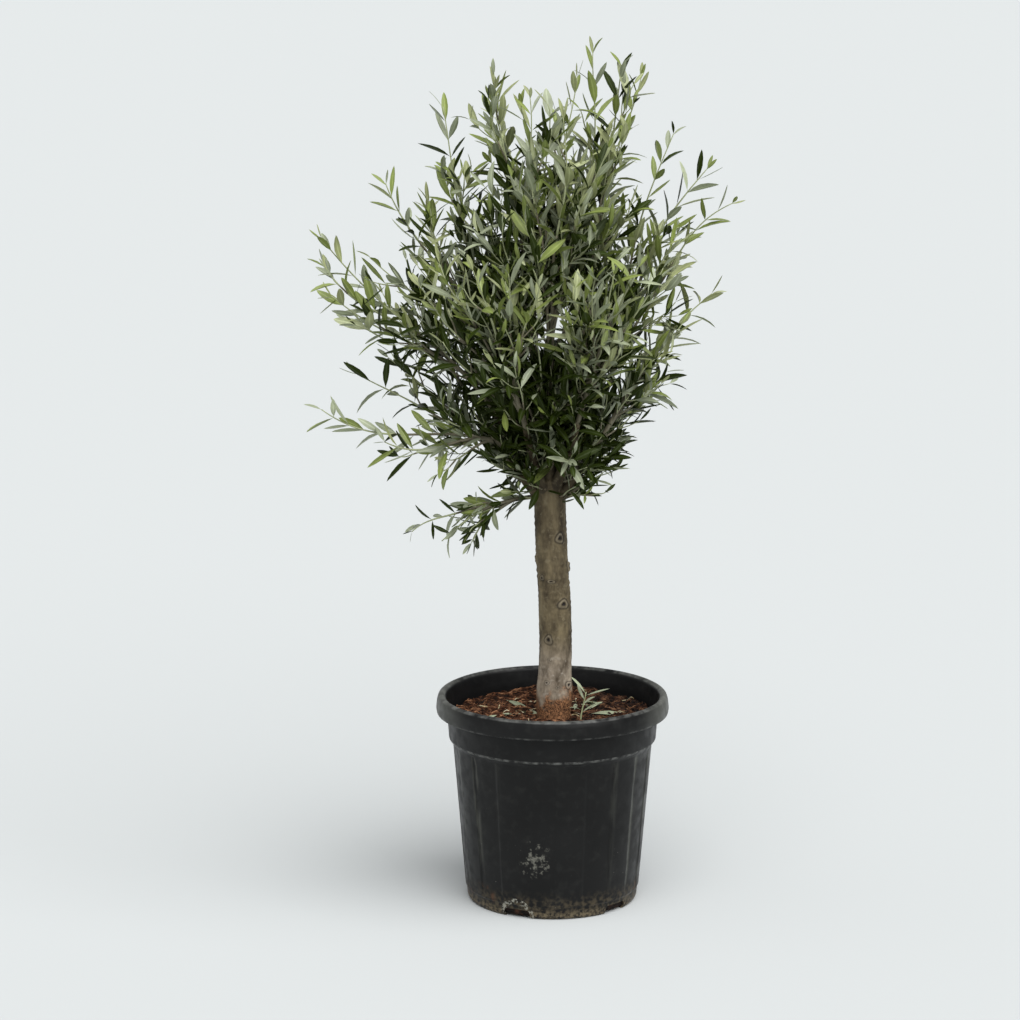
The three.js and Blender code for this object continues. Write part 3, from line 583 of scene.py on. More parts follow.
# Each scar of a cut shoot: its bearing and height, its own width and height, how far its collar stands
# out, how deep its eye is, and how dark the eye is
KNOTS = [
    (304, 636, 9, 10, 1.6, 3.0, 1.0),
    (355, 626, 5, 6, 0.8, 1.5, 0.9),
    (352, 584, 9, 12, 3.4, 2.4, 1.0),
    (180, 595, 7, 8, 2.0, 0.3, 0.2),
    (226, 567, 5, 5, 0.8, 1.6, 0.9),
    (261, 562, 8, 3.5, 0.7, 1.8, 0.9),
    (304, 522, 11, 9, 1.7, 2.6, 1.0),
    (242, 460, 8, 9, 1.2, 2.2, 0.9),
    (247, 425, 4, 3, 0.4, 1.0, 0.7),
    (242, 385, 5, 4, 0.5, 1.0, 0.8),
    (280, 377, 4, 3, 0.3, 0.8, 0.7),
    (262, 351, 5, 3, 0.4, 0.9, 0.8),
    (324, 379, 9, 7, 0.8, 3.2, 1.0),
    (20, 470, 8, 9, 1.3, 2.4, 0.9),
    (75, 540, 9, 9, 1.5, 2.6, 0.9),
    (110, 620, 8, 8, 1.4, 2.2, 0.9),
    (140, 440, 7, 8, 1.2, 2.0, 0.8),
]


def through(knots, count):
    """A smooth line through four or more points: each stretch is a cubic whose slope at a point is half
    the step between that point's neighbours."""
    padded = np.vstack([2 * knots[0] - knots[1], knots, 2 * knots[-1] - knots[-2]])
    place = np.linspace(0, len(knots) - 1, count)
    low = np.minimum(place.astype(int), len(knots) - 2)
    t = (place - low)[:, None]
    before, here, there, after = (padded[low + i] for i in range(4))
    slope, next_slope = (there - before) / 2, (after - here) / 2
    return ((2 * t**3 - 3 * t**2 + 1) * here + (t**3 - 2 * t**2 + t) * slope
            + (3 * t**2 - 2 * t**3) * there + (t**3 - t**2) * next_slope)


stem_height = TRUNK_TOP - SOIL_HEIGHT
bends = np.array([
    [TRUNK_BOW * 0.3, 0, SOIL_HEIGHT],
    [TRUNK_BOW, -2, SOIL_HEIGHT + stem_height * 0.38],
    [-TRUNK_BOW * 0.3, 2, SOIL_HEIGHT + stem_height * 0.68],
    [TRUNK_LEAN, 0, TRUNK_TOP],
])
trunk_line = through(bends, 60)


def trunk_point(height):
    """The point of the trunk's line at a height."""
    height = np.asarray(height, float)
    across = [np.interp(height, trunk_line[:, 2], trunk_line[:, axis]) for axis in (0, 1)]
    return np.stack([*across, height], -1)


def trunk_radius(height):
    """The trunk's radius at a height: a slow taper, with the swelling a little above the mix."""
    above = height - SOIL_HEIGHT
    share = np.clip(above / stem_height, 0, 1)
    taper = TRUNK_FOOT_RADIUS + (TRUNK_TOP_RADIUS - TRUNK_FOOT_RADIUS) * share
    return taper + FLARE * np.exp(-(((above - FLARE_HEIGHT) / FLARE_SPREAD) ** 2))


def set_attribute(piece, name, values):
    """Stores one number for each point of a piece, for its material to read."""
    attribute = piece.data.attributes.new(name, "FLOAT", "POINT")
    attribute.data.foreach_set("value", values.astype(np.float32).ravel())


def trunk_bark():
    """The trunk's line with a ring at each height. The radius follows the taper, plus long low swells,
    level rings of leaf scars, and at each knot a raised collar round a sunk eye. The head closes over
    the fork in a dome. `scar` is how dark each point is, `rim` how pale the bark round an eye is, and
    `foot` how much of the mix sticks to it."""
    chance = np.random.default_rng(11)
    body = np.linspace(SOIL_HEIGHT - TRUNK_SINK, TRUNK_TOP, TRUNK_ROWS)
    dome = np.linspace(0, np.pi / 2, 14)[1:-1]
    height = np.concatenate([body, TRUNK_TOP + HEAD_HEIGHT * np.sin(dome)])[:, None]
    shrink = np.concatenate([np.ones(TRUNK_ROWS), np.cos(dome)])[:, None]
    angle = np.arange(TRUNK_COLUMNS)[None] * 2 * np.pi / TRUNK_COLUMNS
    radius = trunk_radius(height) + 0 * angle
    centre = trunk_point(np.minimum(height, TRUNK_TOP))
    skin = round_axis(angle, radius, height)
    radius = radius + 0.7 * ripple(skin * [1, 1, 0.35], 12, 60, 25) + 0.22 * ripple(skin, 13, 14, 5)
    ringed = smooth_step(*RINGS_RISE, height) * (1 - smooth_step(*RINGS_FALL, height))
    level = height + 2.2 * ripple(skin, 14, 80, 40)
    worn = 0.5 + 0.5 * ripple(skin, 15, 50, 20)
    radius = radius + 0.45 * ringed * np.sin(level * 2 * np.pi / RING_STEP) * worn
    scar, rim = np.zeros((2, *radius.shape))
    for bearing, rise, wide, high, collar, eye, dark in KNOTS:
        turn = np.mod(angle - np.radians(bearing) + np.pi, 2 * np.pi) - np.pi
        out = np.hypot(turn * radius / wide, (height - rise) / high) / KNOT_SHARE
        out = out * (1 + 0.12 * np.sin(3 * np.arctan2(height - rise, turn * radius) + chance.uniform(0, 6)))
        wrinkle = np.cos(out * 2 * np.pi / 0.75) * np.exp(-((out - 1.1) / 0.7) ** 2)
        radius = radius + collar * np.exp(-(out / 1.15) ** 4) + 0.2 * collar * wrinkle
        radius = radius - eye * np.exp(-(out / 0.42) ** 2)
        scar = np.maximum(scar, 1.8 * dark * np.exp(-(out / 0.45) ** 2))
        scar = np.maximum(scar, 0.75 * dark * np.exp(-((out - 1.35) / 0.2) ** 2))
        rim = np.maximum(rim, 0.25 * dark * np.exp(-((out - 0.9) / 0.25) ** 2))
    rings = round_axis(angle, radius * shrink, height) + centre * [1, 1, 0]
    start = trunk_point(SOIL_HEIGHT) - UP * TRUNK_SINK
    end = trunk_point(TRUNK_TOP) + UP * HEAD_HEIGHT
    piece = new_lofts("trunk_bark", start[None], rings[None], end[None])
    foot = 1 - smooth_step(*STAIN_FADE, height + 9 * ripple(skin, 16, 40, 8) - 0.25 * rings[..., 0])
    for mark, low, values in (("scar", 0, np.minimum(scar, 1)), ("rim", 0, rim), ("foot", 1, foot)):
        set_attribute(piece, mark, np.concatenate([[low], values.ravel(), [0]]))
    return piece


def olive_bark(name, pale, dark):
    """Smooth young olive bark: matt, grey-brown, mottled in patches of 12 to 40 mm with paler lichen
    films, darker in the shade under the crown, with near-black eyes, and an orange-brown stain with
    stuck fibre at the foot."""
    material, tree, shader, place = new_material(name)
    tall = put(tree, "Mapping", {"Vector": place, "Scale": (1, 1, 0.4)})
    mottle = put(tree, "TexNoise", {"Vector": tall, "Scale": 1000 / 26, "Detail": 7.0, "Roughness": 0.6})
    skin = cover(tree, linear(dark), pale, 1.0, (mottle, 0.36, 0.64), curve="LINEAR")
    skin = cover(tree, skin, "#b5aca0", 0.45, (9, 0.56, 0.72), curve="LINEAR")
    height = put(tree, "SeparateXYZ", {"Vector": place}, "Z")
    shade = {"Factor": masked(tree, 1.0, [(height, 0.4, 0.475)]), "A": skin, "B": linear("#b8b39b")}
    skin = put(tree, "Mix", shade, data_type="RGBA", blend_type="MULTIPLY")
    fibre = put(tree, "TexNoise", {"Vector": place, "Scale": 1000 / 9, "Detail": 6.0, "Distortion": 5.0})
    earth = cover(tree, linear("#331e12"), "#a3744f", 1.0, (fibre, 0.4, 0.62), curve="LINEAR")
    for mark, colour in (("foot", earth), ("rim", linear("#a39a88")), ("scar", linear("#120d0a"))):
        share = put(tree, "Attribute", output="Fac", attribute_name=mark)
        skin = put(tree, "Mix", {"Factor": share, "A": skin, "B": colour}, data_type="RGBA")
    fine = put(tree, "TexNoise", {"Vector": tall, "Scale": 1000 / 3, "Detail": 5.0})
    bump = put(tree, "Bump", {"Height": fine, "Strength": 0.5, "Distance": 0.7 * MM})
    feed(tree, shader, {"Base Color": skin, "Normal": bump, "Roughness": 0.78, "Specular IOR Level": 0.35})
    return material


finish_piece(trunk_bark(), "bark", [olive_bark("olive_bark", "#a19482", "#493e30")], ["trunk"])

# The boughs
# Thirteen short limbs that leave the head of the trunk, each a tapering curve that rises to its tip,
# with a swollen collar where it grew out of the stem.

# Each bough: its name, the height at which it leaves the trunk's line, its radius there, and its tip's
# bearing, reach and height
BOUGHS = [
    ("bough_left", 700, 11, 183, 95, 842),
    ("bough_low_left", 690, 9, 203, 88, 790),
    ("bough_upper_left", 712, 11, 156, 72, 880),
    ("bough_centre_left", 716, 11, 205, 34, 905),
    ("bough_centre_right", 716, 12, 345, 30, 910),
    ("bough_right", 704, 11, 14, 82, 855),
    ("bough_low_right", 692, 9, 338, 78, 795),
    ("bough_front_left", 700, 10, 238, 88, 835),
    ("bough_front_right", 704, 10, 297, 88, 845),
    ("bough_front", 712, 10, 264, 62, 900),
    ("bough_back_left", 698, 10, 128, 92, 835),
    ("bough_back_right", 706, 10, 58, 92, 845),
    ("bough_back", 712, 10, 92, 62, 900),
]
BOUGH_TIP_RADIUS = 5.5
BOUGH_TAPER = 0.7
BOUGH_LIFT = 0.35
BOUGH_STEPS = 40
BOUGH_SIDES = 24
COLLAR_SWELL = 3.0
COLLAR_PLACE = 0.14
COLLAR_REACH = 0.16
CURVE_HANDLE = 0.36


def polar(bearing, reach, height):
    """Points at bearings in degrees, at a reach from the axis and a height."""
    return round_axis(np.radians(bearing), reach, height)


def sweep(start, direction, end, lift, steps):
    """Curves that leave their starts in one direction and end turned up, or down, by their lift: cubics
    whose handles are a fixed share of the distance between their ends."""
    handle = CURVE_HANDLE * np.linalg.norm(end - start, axis=-1, keepdims=True)
    turn = unit(unit(end - start) + UP * lift)
    knots = [start, start + direction * handle, end - turn * handle, end]
    t = np.linspace(0, 1, steps + 1)[:, None]
    weights = [(1 - t) ** 3, 3 * t * (1 - t) ** 2, 3 * t**2 * (1 - t), t**3]
    return sum(weight * knot[:, None] for weight, knot in zip(weights, knots))


bough_names = [row[0] for row in BOUGHS]
springs, girth, bough_bearing, bough_reach, bough_height = np.array([row[1:] for row in BOUGHS], float).T
bough_outward = polar(bough_bearing, 1.0, 0.0)
bough_climb = np.maximum(0.75, 0.7 * (bough_height - springs) / bough_reach)
bough_way = unit(bough_outward + UP * bough_climb[:, None])
bough_tips = polar(bough_bearing, bough_reach, bough_height)
bough_paths = sweep(trunk_point(springs), bough_way, bough_tips, BOUGH_LIFT, BOUGH_STEPS)


def bough_bark():
    """The boughs' lines with rings that taper towards the tips, swell in a collar where they leave the
    trunk, and carry low ripples of bark."""
    share = np.linspace(0, 1, BOUGH_STEPS + 1)[None]
    radii = girth[:, None] + (BOUGH_TIP_RADIUS - girth[:, None]) * share**BOUGH_TAPER
    radii = radii + COLLAR_SWELL * np.exp(-((share - COLLAR_PLACE) / COLLAR_REACH) ** 2)
    rings = tube_rings(bough_paths, radii, BOUGH_SIDES)
    centre = bough_paths[:, :, None]
    rings = centre + (rings - centre) * (1 + 0.05 * ripple(rings, 31, 30, 8)[..., None])
    tips = bough_paths[:, -1] + 3 * unit(bough_paths[:, -1] - bough_paths[:, -2])
    return new_lofts("bough_bark", bough_paths[:, 0] - UP, rings, tips)


# The boughs' darker bark colours are painted shade under the leaves
finish_piece(bough_bark(), "bark", [olive_bark("bough_bark", "#7d7262", "#3f3629")], bough_names)

# The shoots
# Leaders fan out from each bough's tip, and from the head of the trunk, to the crown's outline, the
# others forking from the middle one. Opposite buds, turned a quarter at each pair, bear twigs on their
# inner part, these bear finer twigs, and the outer part of every leader bears only leaves.

# Each mass: its name, its bough or its height on the trunk, the bearing, reach and height of its first
# and last leaf tips, how many leaders it has, how much they lift at their ends, and how twiggy it is
MASSES = [
    ("foliage_left_upper", "bough_left", (177, 408, 1162), (180, 392, 1066), 3, 0.1, 0.42),
    ("foliage_left_low", "bough_low_left", (188, 418, 868), (203, 215, 782), 3, 0.5, 0.33),
    ("foliage_upper_left", "bough_upper_left", (166, 200, 1385), (187, 325, 1135), 3, 0.5, 0.44),
    ("foliage_top_left", "bough_centre_left", (330, 46, 1442), (160, 110, 1442), 2, 0.1, 0.62),
    ("foliage_top", "bough_centre_right", (0, 84, 1478), (10, 152, 1436), 3, -0.1, 0.36),
    ("foliage_right_upper", "bough_right", (10, 208, 1342), (356, 308, 1230), 3, -0.45, 0.3),
    ("foliage_right", "bough_low_right", (11, 291, 1062), (345, 190, 968), 3, -0.2, 0.4),
    ("foliage_front_left", "bough_front_left", (204, 280, 1110), (262, 205, 1118), 5, 0.1, 0.6),
    ("foliage_front_right", "bough_front_right", (322, 235, 1140), (278, 205, 1112), 5, 0.1, 0.6),
    ("foliage_front_upper", "bough_front", (235, 100, 1412), (310, 140, 1335), 3, -0.1, 0.36),
    ("foliage_back_left", "bough_back_left", (152, 290, 1120), (104, 215, 1080), 5, 0.1, 0.75),
    ("foliage_back_right", "bough_back_right", (40, 245, 1150), (78, 215, 1080), 5, 0.1, 0.75),
    ("foliage_back_upper", "bough_back", (135, 125, 1368), (58, 155, 1335), 3, -0.1, 0.36),
    ("foliage_left_drooping", 706, (189, 266, 642), (195, 168, 622), 3, -0.5, 0.55),
    ("foliage_left_inner", 690, (170, 358, 925), (160, 215, 960), 4, 0.1, 0.34),
    ("foliage_right_low", 676, (350, 130, 820), (315, 100, 730), 3, 0.1, 0.4),
    ("foliage_right_inner", 690, (14, 165, 905), (25, 110, 812), 3, 0.1, 0.4),
    ("foliage_front_low", 690, (212, 225, 1015), (306, 190, 990), 5, 0.2, 0.9),
    ("foliage_back_low", 686, (160, 225, 1005), (70, 190, 990), 5, 0.2, 0.85),
]

# Leaders: where along the middle one the others fork, and which share of each bears twigs
FORK_HEIGHT = 700
FIRST_FORK = 0.07
TRUNK_FORK = 0.21
FORK_STEP = 0.045
STEM_RADIUS = 4.6
BRANCH_RADIUS = 2.9
LEADER_TIP_RADIUS = 0.9
LEADER_WANDER = 0.018
LEADER_STEPS = 36
LEADER_PAIR_STEP = 42
LEADER_SPAN = (0.05, 0.86)
BARE_TIP = 0.96
TIP_LEAF_REACH = 26

# Twigs, the finer ones on them, and those that spring from the boughs themselves. An angle is that
# at which they leave their carrier, with its spread, both in degrees
TWIG_SHARE = 0.42
TWIG_ANGLE = (40, 9)
TWIG_LIFT = 0.45
TWIG_DROOP = -0.6
TWIG_STEPS = 12
TWIG_WANDER = 0.03
TWIG_RADII = (1.7, 0.8)
TWIG_LENGTHS = (45, 175)
TWIGLET_SHARE = 0.5
TWIGLET_ANGLE = (48, 10)
TWIGLET_PAIR_STEP = 34
TWIGLET_SPAN = (0.22, 0.66)
TWIGLET_RADII = (1.1, 0.6)
TWIGLET_LENGTHS = (28, 80)
SHORTEST_CARRIER = 70
INNER_PAIR_STEP = 22
INNER_SPAN = (0.12, 0.97)
INNER_LENGTHS = (45, 100)
INNER_ANGLE = (58, 12)
EDGE_ROOM = 34
MASS_SEED = 100
BOUGH_SEED = 200
LEAF_SEED = 300


def fan(root, first, last, count):
    """Leader ends spread evenly from the first tip to the last: their directions turn along the great
    circle between the two, and their lengths change evenly."""
    start, finish = first - root, last - root
    long_start, long_finish = np.linalg.norm(start), np.linalg.norm(finish)
    share = np.linspace(0, 1, count)[:, None]
    arc = np.arccos(np.clip(unit(start) @ unit(finish), -1, 1))
    heading = (np.sin((1 - share) * arc) * unit(start) + np.sin(share * arc) * unit(finish)) / np.sin(arc)
    length = long_start + (long_finish - long_start) * share - TIP_LEAF_REACH
    return root + heading * length


def leader_paths(carrier, first, last, count, lift):
    """One mass's leaders: the middle one sweeps from the tip of its bough, or from the trunk's line, to
    its end, and the others fork from it one after the other."""
    first, last = polar(*map(float, first)), polar(*map(float, last))
    if carrier in bough_names:
        bough = bough_paths[bough_names.index(carrier)]
        heading = unit(bough[-1] - bough[-2])
        root, fork = bough[-1] - 4 * heading, FIRST_FORK
    else:
        root, fork = trunk_point(carrier), TRUNK_FORK
        heading = unit(unit((first + last) / 2 - root) + UP * 0.35)
    ends = fan(root, first, last, count)
    middle = count // 2
    main = sweep(root[None], heading[None], ends[[middle]], lift, LEADER_STEPS)[0]
    places = np.round((fork + np.arange(count) * FORK_STEP) * LEADER_STEPS).astype(int)
    forks = main[places]
    turns = unit(unit(ends - forks) + unit(main[places[0] + 1] - main[places[0] - 1]))
    paths = sweep(forks, turns, ends, lift, LEADER_STEPS)
    paths[middle] = main
    return paths


def wander(paths, size, chance):
    """Paths that wander off their lines by up to about `size` of their length: two slow waves, square
    to the chord and to each other, that fade out at the start."""
    share = np.linspace(0, 1, paths.shape[1])[None, :, None]
    chord = paths[:, -1] - paths[:, 0]
    length = np.linalg.norm(chord, axis=-1)[:, None, None]
    for turn in (0, np.pi / 2):
        side = square_to(unit(chord), turn + 0 * chord[:, 0])
        phase, turns = chance.uniform(0, 2 * np.pi, (2, len(paths), 1, 1))
        swing = np.sin(phase + (4 + turns) * share) - np.sin(phase)
        paths = paths + side[:, None] * swing * length * size * share
    return paths


# The crown's heart, and its reach from there sideways, in depth, up and down
HEART = np.array([-30, 0, 900])
HEART_REACH = (340, 270, 580, 210)


def crown_depth(points):
    """How far out points lie in the crown: 0 at its heart and 1 on its outline, an ellipsoid that is
    taller above the heart than below it."""
    aside, deep, above, below = HEART_REACH
    x, y, z = (points - HEART).T
    return np.sqrt((x / aside) ** 2 + (y / deep) ** 2 + (z / np.where(z > 0, above, below)) ** 2)


def lengths_of(paths):
    """The length of each path."""
    return np.linalg.norm(np.diff(paths, axis=1), axis=-1).sum(axis=1)


def along(paths, owner, share):
    """The points and directions at shares of the paths that the owners name."""
    place = np.clip(share, 0, 0.999) * (paths.shape[1] - 1)
    low = place.astype(int)
    near, far = paths[owner, low], paths[owner, low + 1]
    return near + (far - near) * (place - low)[:, None], unit(far - near)


def square_to(line, angle):
    """Directions square to lines, at angles round them."""
    side = unit(level_side(line))
    return side * np.cos(angle)[:, None] + np.cross(line, side) * np.sin(angle)[:, None]


def buds(paths, spacing, first, last, chance):
    """Buds in opposite pairs from `last` inwards to `first`, both shares of the paths, each pair turned a
    quarter round from the one before. Returns their owners, shares, points, lines and outward ways."""
    length = lengths_of(paths)[:, None]
    pair = np.arange(int(np.ceil(length.max(initial=0) / spacing)))[None]
    share = last - pair * spacing / length * (1 - 0.25 * np.exp(-pair / 2.0))
    turn = chance.normal(2 * np.pi * chance.random((len(paths), 1)) + pair * np.pi / 2, 0.3)
    owner, number = np.repeat(np.nonzero(share > first), 2, axis=1)
    half = np.tile([0, 1], len(owner) // 2)
    at = chance.normal(share[owner, number], 0.004)
    point, line = along(paths, owner, at)
    return owner, at, point, line, square_to(line, turn[owner, number] + half * np.pi)


def thin(rows, kept):
    """The kept part of each row."""
    return [row[kept] for row in rows]


def lean_out(line, outward, degrees, lift):
    """Directions that lean from their carriers' lines by an angle, and lift a little."""
    angle = np.radians(degrees)[:, None]
    return unit(line * np.cos(angle) + outward * np.sin(angle) + UP * lift)


crown_low, crown_high = np.array(cad_box) / MM


def grow_twigs(root, line, outward, lengths, angle, lift, chance):
    """Twigs from buds: each leans out of its carrier and then curves on towards its line and up, and
    none ends so near the crown's furthest reach that its leaves would pass it."""
    direction = lean_out(line, outward, chance.normal(*angle, len(root)), 0.1)
    end = root + unit(direction + 0.35 * line) * lengths[:, None] + UP * (lift * 0.3 * lengths)[:, None]
    end = np.clip(end, crown_low + EDGE_ROOM, crown_high - EDGE_ROOM)
    return sweep(root, direction, end, 0.5 * lift[:, None], TWIG_STEPS)


def grow_mass(number):
    """One mass's leaders, its twigs and their finer twigs, grown from its own seeded chances. Twigs are
    shorter and fewer towards the leaders' tips, and fewer where a bud faces down, or in a drooping mass
    where it faces up."""
    _, carrier, first, last, count, lift, full = MASSES[number]
    chance = np.random.default_rng(MASS_SEED + number)
    leaders = wander(leader_paths(carrier, first, last, count, lift), LEADER_WANDER, chance)
    found = buds(leaders, LEADER_PAIR_STEP, *LEADER_SPAN, chance)
    share, way_up = found[1], found[4][:, 2]
    droops = last[2] < FORK_HEIGHT
    under = np.maximum(way_up if droops else -way_up, 0)
    grows = np.maximum((1.1 - 0.8 * under) * (1 - 0.85 * share) ** (1 / full), 0.1)
    owner, share, root, line, outward = thin(found, chance.random(len(share)) < grows)
    length = np.minimum(TWIG_SHARE * (1 - 0.75 * share), 1.15 * (BARE_TIP - share))
    length = length * lengths_of(leaders)[owner]
    length = np.clip(length * chance.uniform(0.55, 1.1, len(owner)), *TWIG_LENGTHS)
    twig_lift = (TWIG_DROOP if droops else TWIG_LIFT + min(lift, 0)) + 0 * length
    twigs = grow_twigs(root, line, outward, length, TWIG_ANGLE, twig_lift, chance)
    twigs = wander(twigs, TWIG_WANDER, chance)
    return leaders, twigs, grow_twiglets(twigs, twig_lift, chance)


def grow_twiglets(twigs, lift, chance):
    """The finer twigs of some twigs, most of them near the crown's heart."""
    reach = lengths_of(twigs)
    found = buds(twigs, TWIGLET_PAIR_STEP, *TWIGLET_SPAN, chance)
    owner, _, root, *_ = found
    kept = chance.random(len(owner)) < 0.85 - 0.75 * crown_depth(root)
    kept &= reach[owner] > SHORTEST_CARRIER
    owner, share, root, line, outward = thin(found, kept)
    length = TWIGLET_SHARE * reach[owner] * (1 - 0.5 * share)
    length = np.clip(length * chance.uniform(0.7, 1.2, len(owner)), *TWIGLET_LENGTHS)
    return grow_twigs(root, line, outward, length, TWIGLET_ANGLE, lift[owner], chance)


def grow_inner(number):
    """The twigs that spring from one bough itself, short and in all directions, and their finer ones."""
    chance = np.random.default_rng(BOUGH_SEED + number)
    owner, share, root, line, outward = buds(bough_paths[[number]], INNER_PAIR_STEP, *INNER_SPAN, chance)
    length = chance.uniform(*INNER_LENGTHS, len(owner)) * (1.1 - 0.5 * share)
    lift = chance.uniform(0, 0.5, len(owner))
    twigs = grow_twigs(root, line, outward, length, INNER_ANGLE, lift, chance)
    twigs = wander(twigs, TWIG_WANDER, chance)
    return twigs, grow_twiglets(twigs, lift, chance)


crown = [grow_mass(number) for number in range(len(MASSES))]
inner = [grow_inner(number) for number in range(len(BOUGHS))]
leaders = np.concatenate([mass[0] for mass in crown])
is_middle = np.concatenate([np.arange(len(mass[0])) == len(mass[0]) // 2 for mass in crown])
twigs = np.concatenate([mass[1] for mass in crown] + [bough[0] for bough in inner])
twiglets = np.concatenate([mass[2] for mass in crown] + [bough[1] for bough in inner])


def tapers(paths, start, end):
    """Radii that fall evenly from start to end along paths."""
    share = np.linspace(0, 1, paths.shape[1])[None]
    start = np.broadcast_to(start, len(paths))[:, None]
    return start + (end - start) * share


def shoot_bark(name, old, young, size_mm):
    """The skin of shoots: thin smooth bark, or on this year's growth a pale green rind with a slight
    waxy sheen, its tone drifting over 12 to 20 mm."""
    material, tree, shader, place = new_material(name)
    drift = put(tree, "TexNoise", {"Vector": place, "Scale": 1000 / size_mm, "Detail": 4.0})
    tones = {"Factor": drift, "A": linear(old), "B": linear(young)}
    skin = put(tree, "Mix", tones, data_type="RGBA")
    bump = put(tree, "Bump", {"Height": drift, "Strength": 0.4, "Distance": 0.4 * MM})
    feed(tree, shader, {"Base Color": skin, "Normal": bump, "Roughness": 0.62})
    return material


WOODY_STEPS = 21
TWIG_WOODY_STEPS = 5
leader_radii = tapers(leaders, np.where(is_middle, STEM_RADIUS, BRANCH_RADIUS), LEADER_TIP_RADIUS)
twig_radii = tapers(twigs, *TWIG_RADII)
grey_rind = ("bark", [shoot_bark("grey_shoot_bark", "#4d4938", "#857f68", 12)])
green_rind = ("foliage", [shoot_bark("green_shoot_rind", "#7d845c", "#a8ae88", 20)])

# Each piece of shoots: its name, its paths and their radii, which of their steps it has, its number of
# sides and its slot and skin
SHOOTS = [
    ("leader_wood", leaders, leader_radii, slice(WOODY_STEPS + 1), 8, grey_rind),
    ("leader_shoots", leaders, leader_radii, slice(WOODY_STEPS, None), 6, green_rind),
    ("twig_wood", twigs, twig_radii, slice(TWIG_WOODY_STEPS + 1), 5, grey_rind),
    ("twig_shoots", twigs, twig_radii, slice(TWIG_WOODY_STEPS, None), 5, green_rind),
    ("twiglet_shoots", twiglets, tapers(twiglets, *TWIGLET_RADII), slice(None), 4, green_rind),
]
for name, paths, radii, steps, sides, rind in SHOOTS:
    replaced = [row[0] for row in MASSES] if name == "leader_wood" else ()
    finish_piece(new_tubes(name, paths[:, steps], radii[:, steps], sides), *rind, replaced)

# The leaves
# Opposite pairs of narrow leathery leaves, 43 to 68 mm long and a fifth as wide, each on a short
# stalk, folded a little along its midrib. They are dark or grey green above and silvery below, smaller
# and paler towards the tips of the shoots, and the innermost part of each shoot is bare.
LEAF_LENGTH = 60
LEAF_SLENDER = 0.215
LEAF_THICKNESS = 0.55
LEAF_STATIONS = np.array([0.08, 0.27, 0.5, 0.73, 0.91])
LEAF_WIDTHS = np.array([0.13, 0.72, 1.0, 0.84, 0.42])
LEAF_STEP = 28
TWIGLET_LEAF_STEP = 25
LEAF_CREASE = 60

# The upper side and the underside of each tint, from the palest to the darkest
TINTS = {
    "young": ("#a3a982", "#bcbfa6"),
    "fresh": ("#90966a", "#b3b79c"),
    "olive": ("#748040", "#9ea678"),
    "grey": ("#8f967b", "#b6baa3"),
    "deep": ("#28330b", "#566332"),
}


def leaf_rings(root, direction, face, length, width, fold, bend, sickle):
    """Leaves as lofts of diamond rings: left edge, underside of the midrib, right edge and its upper
    side. The midrib follows an arc that bends up or down, the edges stand up by the fold, and the whole
    curves sideways as a sickle does. Returns the root points, the rings and the tips."""
    side = np.cross(face, direction)
    bend = np.where(np.abs(bend) < 0.01, 0.01, bend)[:, None]
    share = np.concatenate([[0], LEAF_STATIONS, [1]])[None]
    on = length[:, None] * np.sin(bend * share) / bend
    over = length[:, None] * (1 - np.cos(bend * share)) / bend
    aside = length[:, None] * sickle[:, None] * share**2
    midrib = (root[:, None] + direction[:, None] * on[..., None] + face[:, None] * over[..., None]
              + side[:, None] * aside[..., None])
    half = 0.5 * width[:, None] * LEAF_WIDTHS[None]
    spread = half * np.cos(fold)[:, None]
    stand = half * np.sin(fold)[:, None]
    thick = LEAF_THICKNESS * np.minimum(1, 2 * LEAF_WIDTHS)[None] + 0 * half
    zero = 0 * half
    across = np.stack([-spread, zero, spread, zero], -1)[..., None]
    up = np.stack([stand, -thick, stand, zero], -1)[..., None]
    rings = midrib[:, 1:-1, None] + side[:, None, None] * across + face[:, None, None] * up
    return midrib[:, 0], rings, midrib[:, -1]


def leaf_material(name, colour, gloss, roughness):
    """One side of an olive leaf. Above it has a thick waxy skin with a low gloss and a paler midrib,
    mottled over a leaf's length. Below it is felted with silvery scales, which leave it matt and pale."""
    material, tree, shader, place = new_material(name)
    drift = put(tree, "TexNoise", {"Vector": place, "Scale": 1000 / 45, "Detail": 3.0})
    tones = {"Value": drift, "From Min": 0.3, "From Max": 0.7, "To Min": 0.72, "To Max": 1.28}
    rib = put(tree, "Attribute", output="Fac", attribute_name="rib")
    keel = masked(tree, 0.4, [(rib, 0.72, 0.95)], "LINEAR")
    pale = tuple(min(1.0, 1.9 * channel + 0.05) for channel in linear(colour)[:3]) + (1.0,)
    skin = put(tree, "Mix", {"Factor": keel, "A": linear(colour), "B": pale}, data_type="RGBA")
    skin = put(tree, "VectorMath", {0: skin, "Scale": put(tree, "MapRange", tones)}, operation="SCALE")
    feed(tree, shader, {"Base Color": skin, "Roughness": roughness, "IOR": 1.45, "Specular IOR Level": gloss})
    return material


def new_leaves(name, tint, leaves, replaced=()):
    """A piece of leaves of one tint, with a material for each side. `rib` is 1 along the midribs."""
    starts, rings, ends = leaf_rings(*leaves)
    kinds = np.tile([1, 1, 0, 0], len(starts) * (len(LEAF_STATIONS) + 1))
    piece = new_lofts(name, starts, rings, ends, kinds, LEAF_CREASE)
    rib = np.array([1, *[0, 1, 0, 1] * len(LEAF_STATIONS), 1])
    set_attribute(piece, "rib", np.tile(rib, len(starts)))
    upper, lower = TINTS[tint]
    gloss = 0.12 if tint == "deep" else 0.45
    top = leaf_material(f"olive_leaf_{tint}", upper, gloss, 0.42)
    under = leaf_material(f"olive_leaf_{tint}_underside", lower, 0.2, 0.75)
    finish_piece(piece, "foliage", [top, under], replaced)


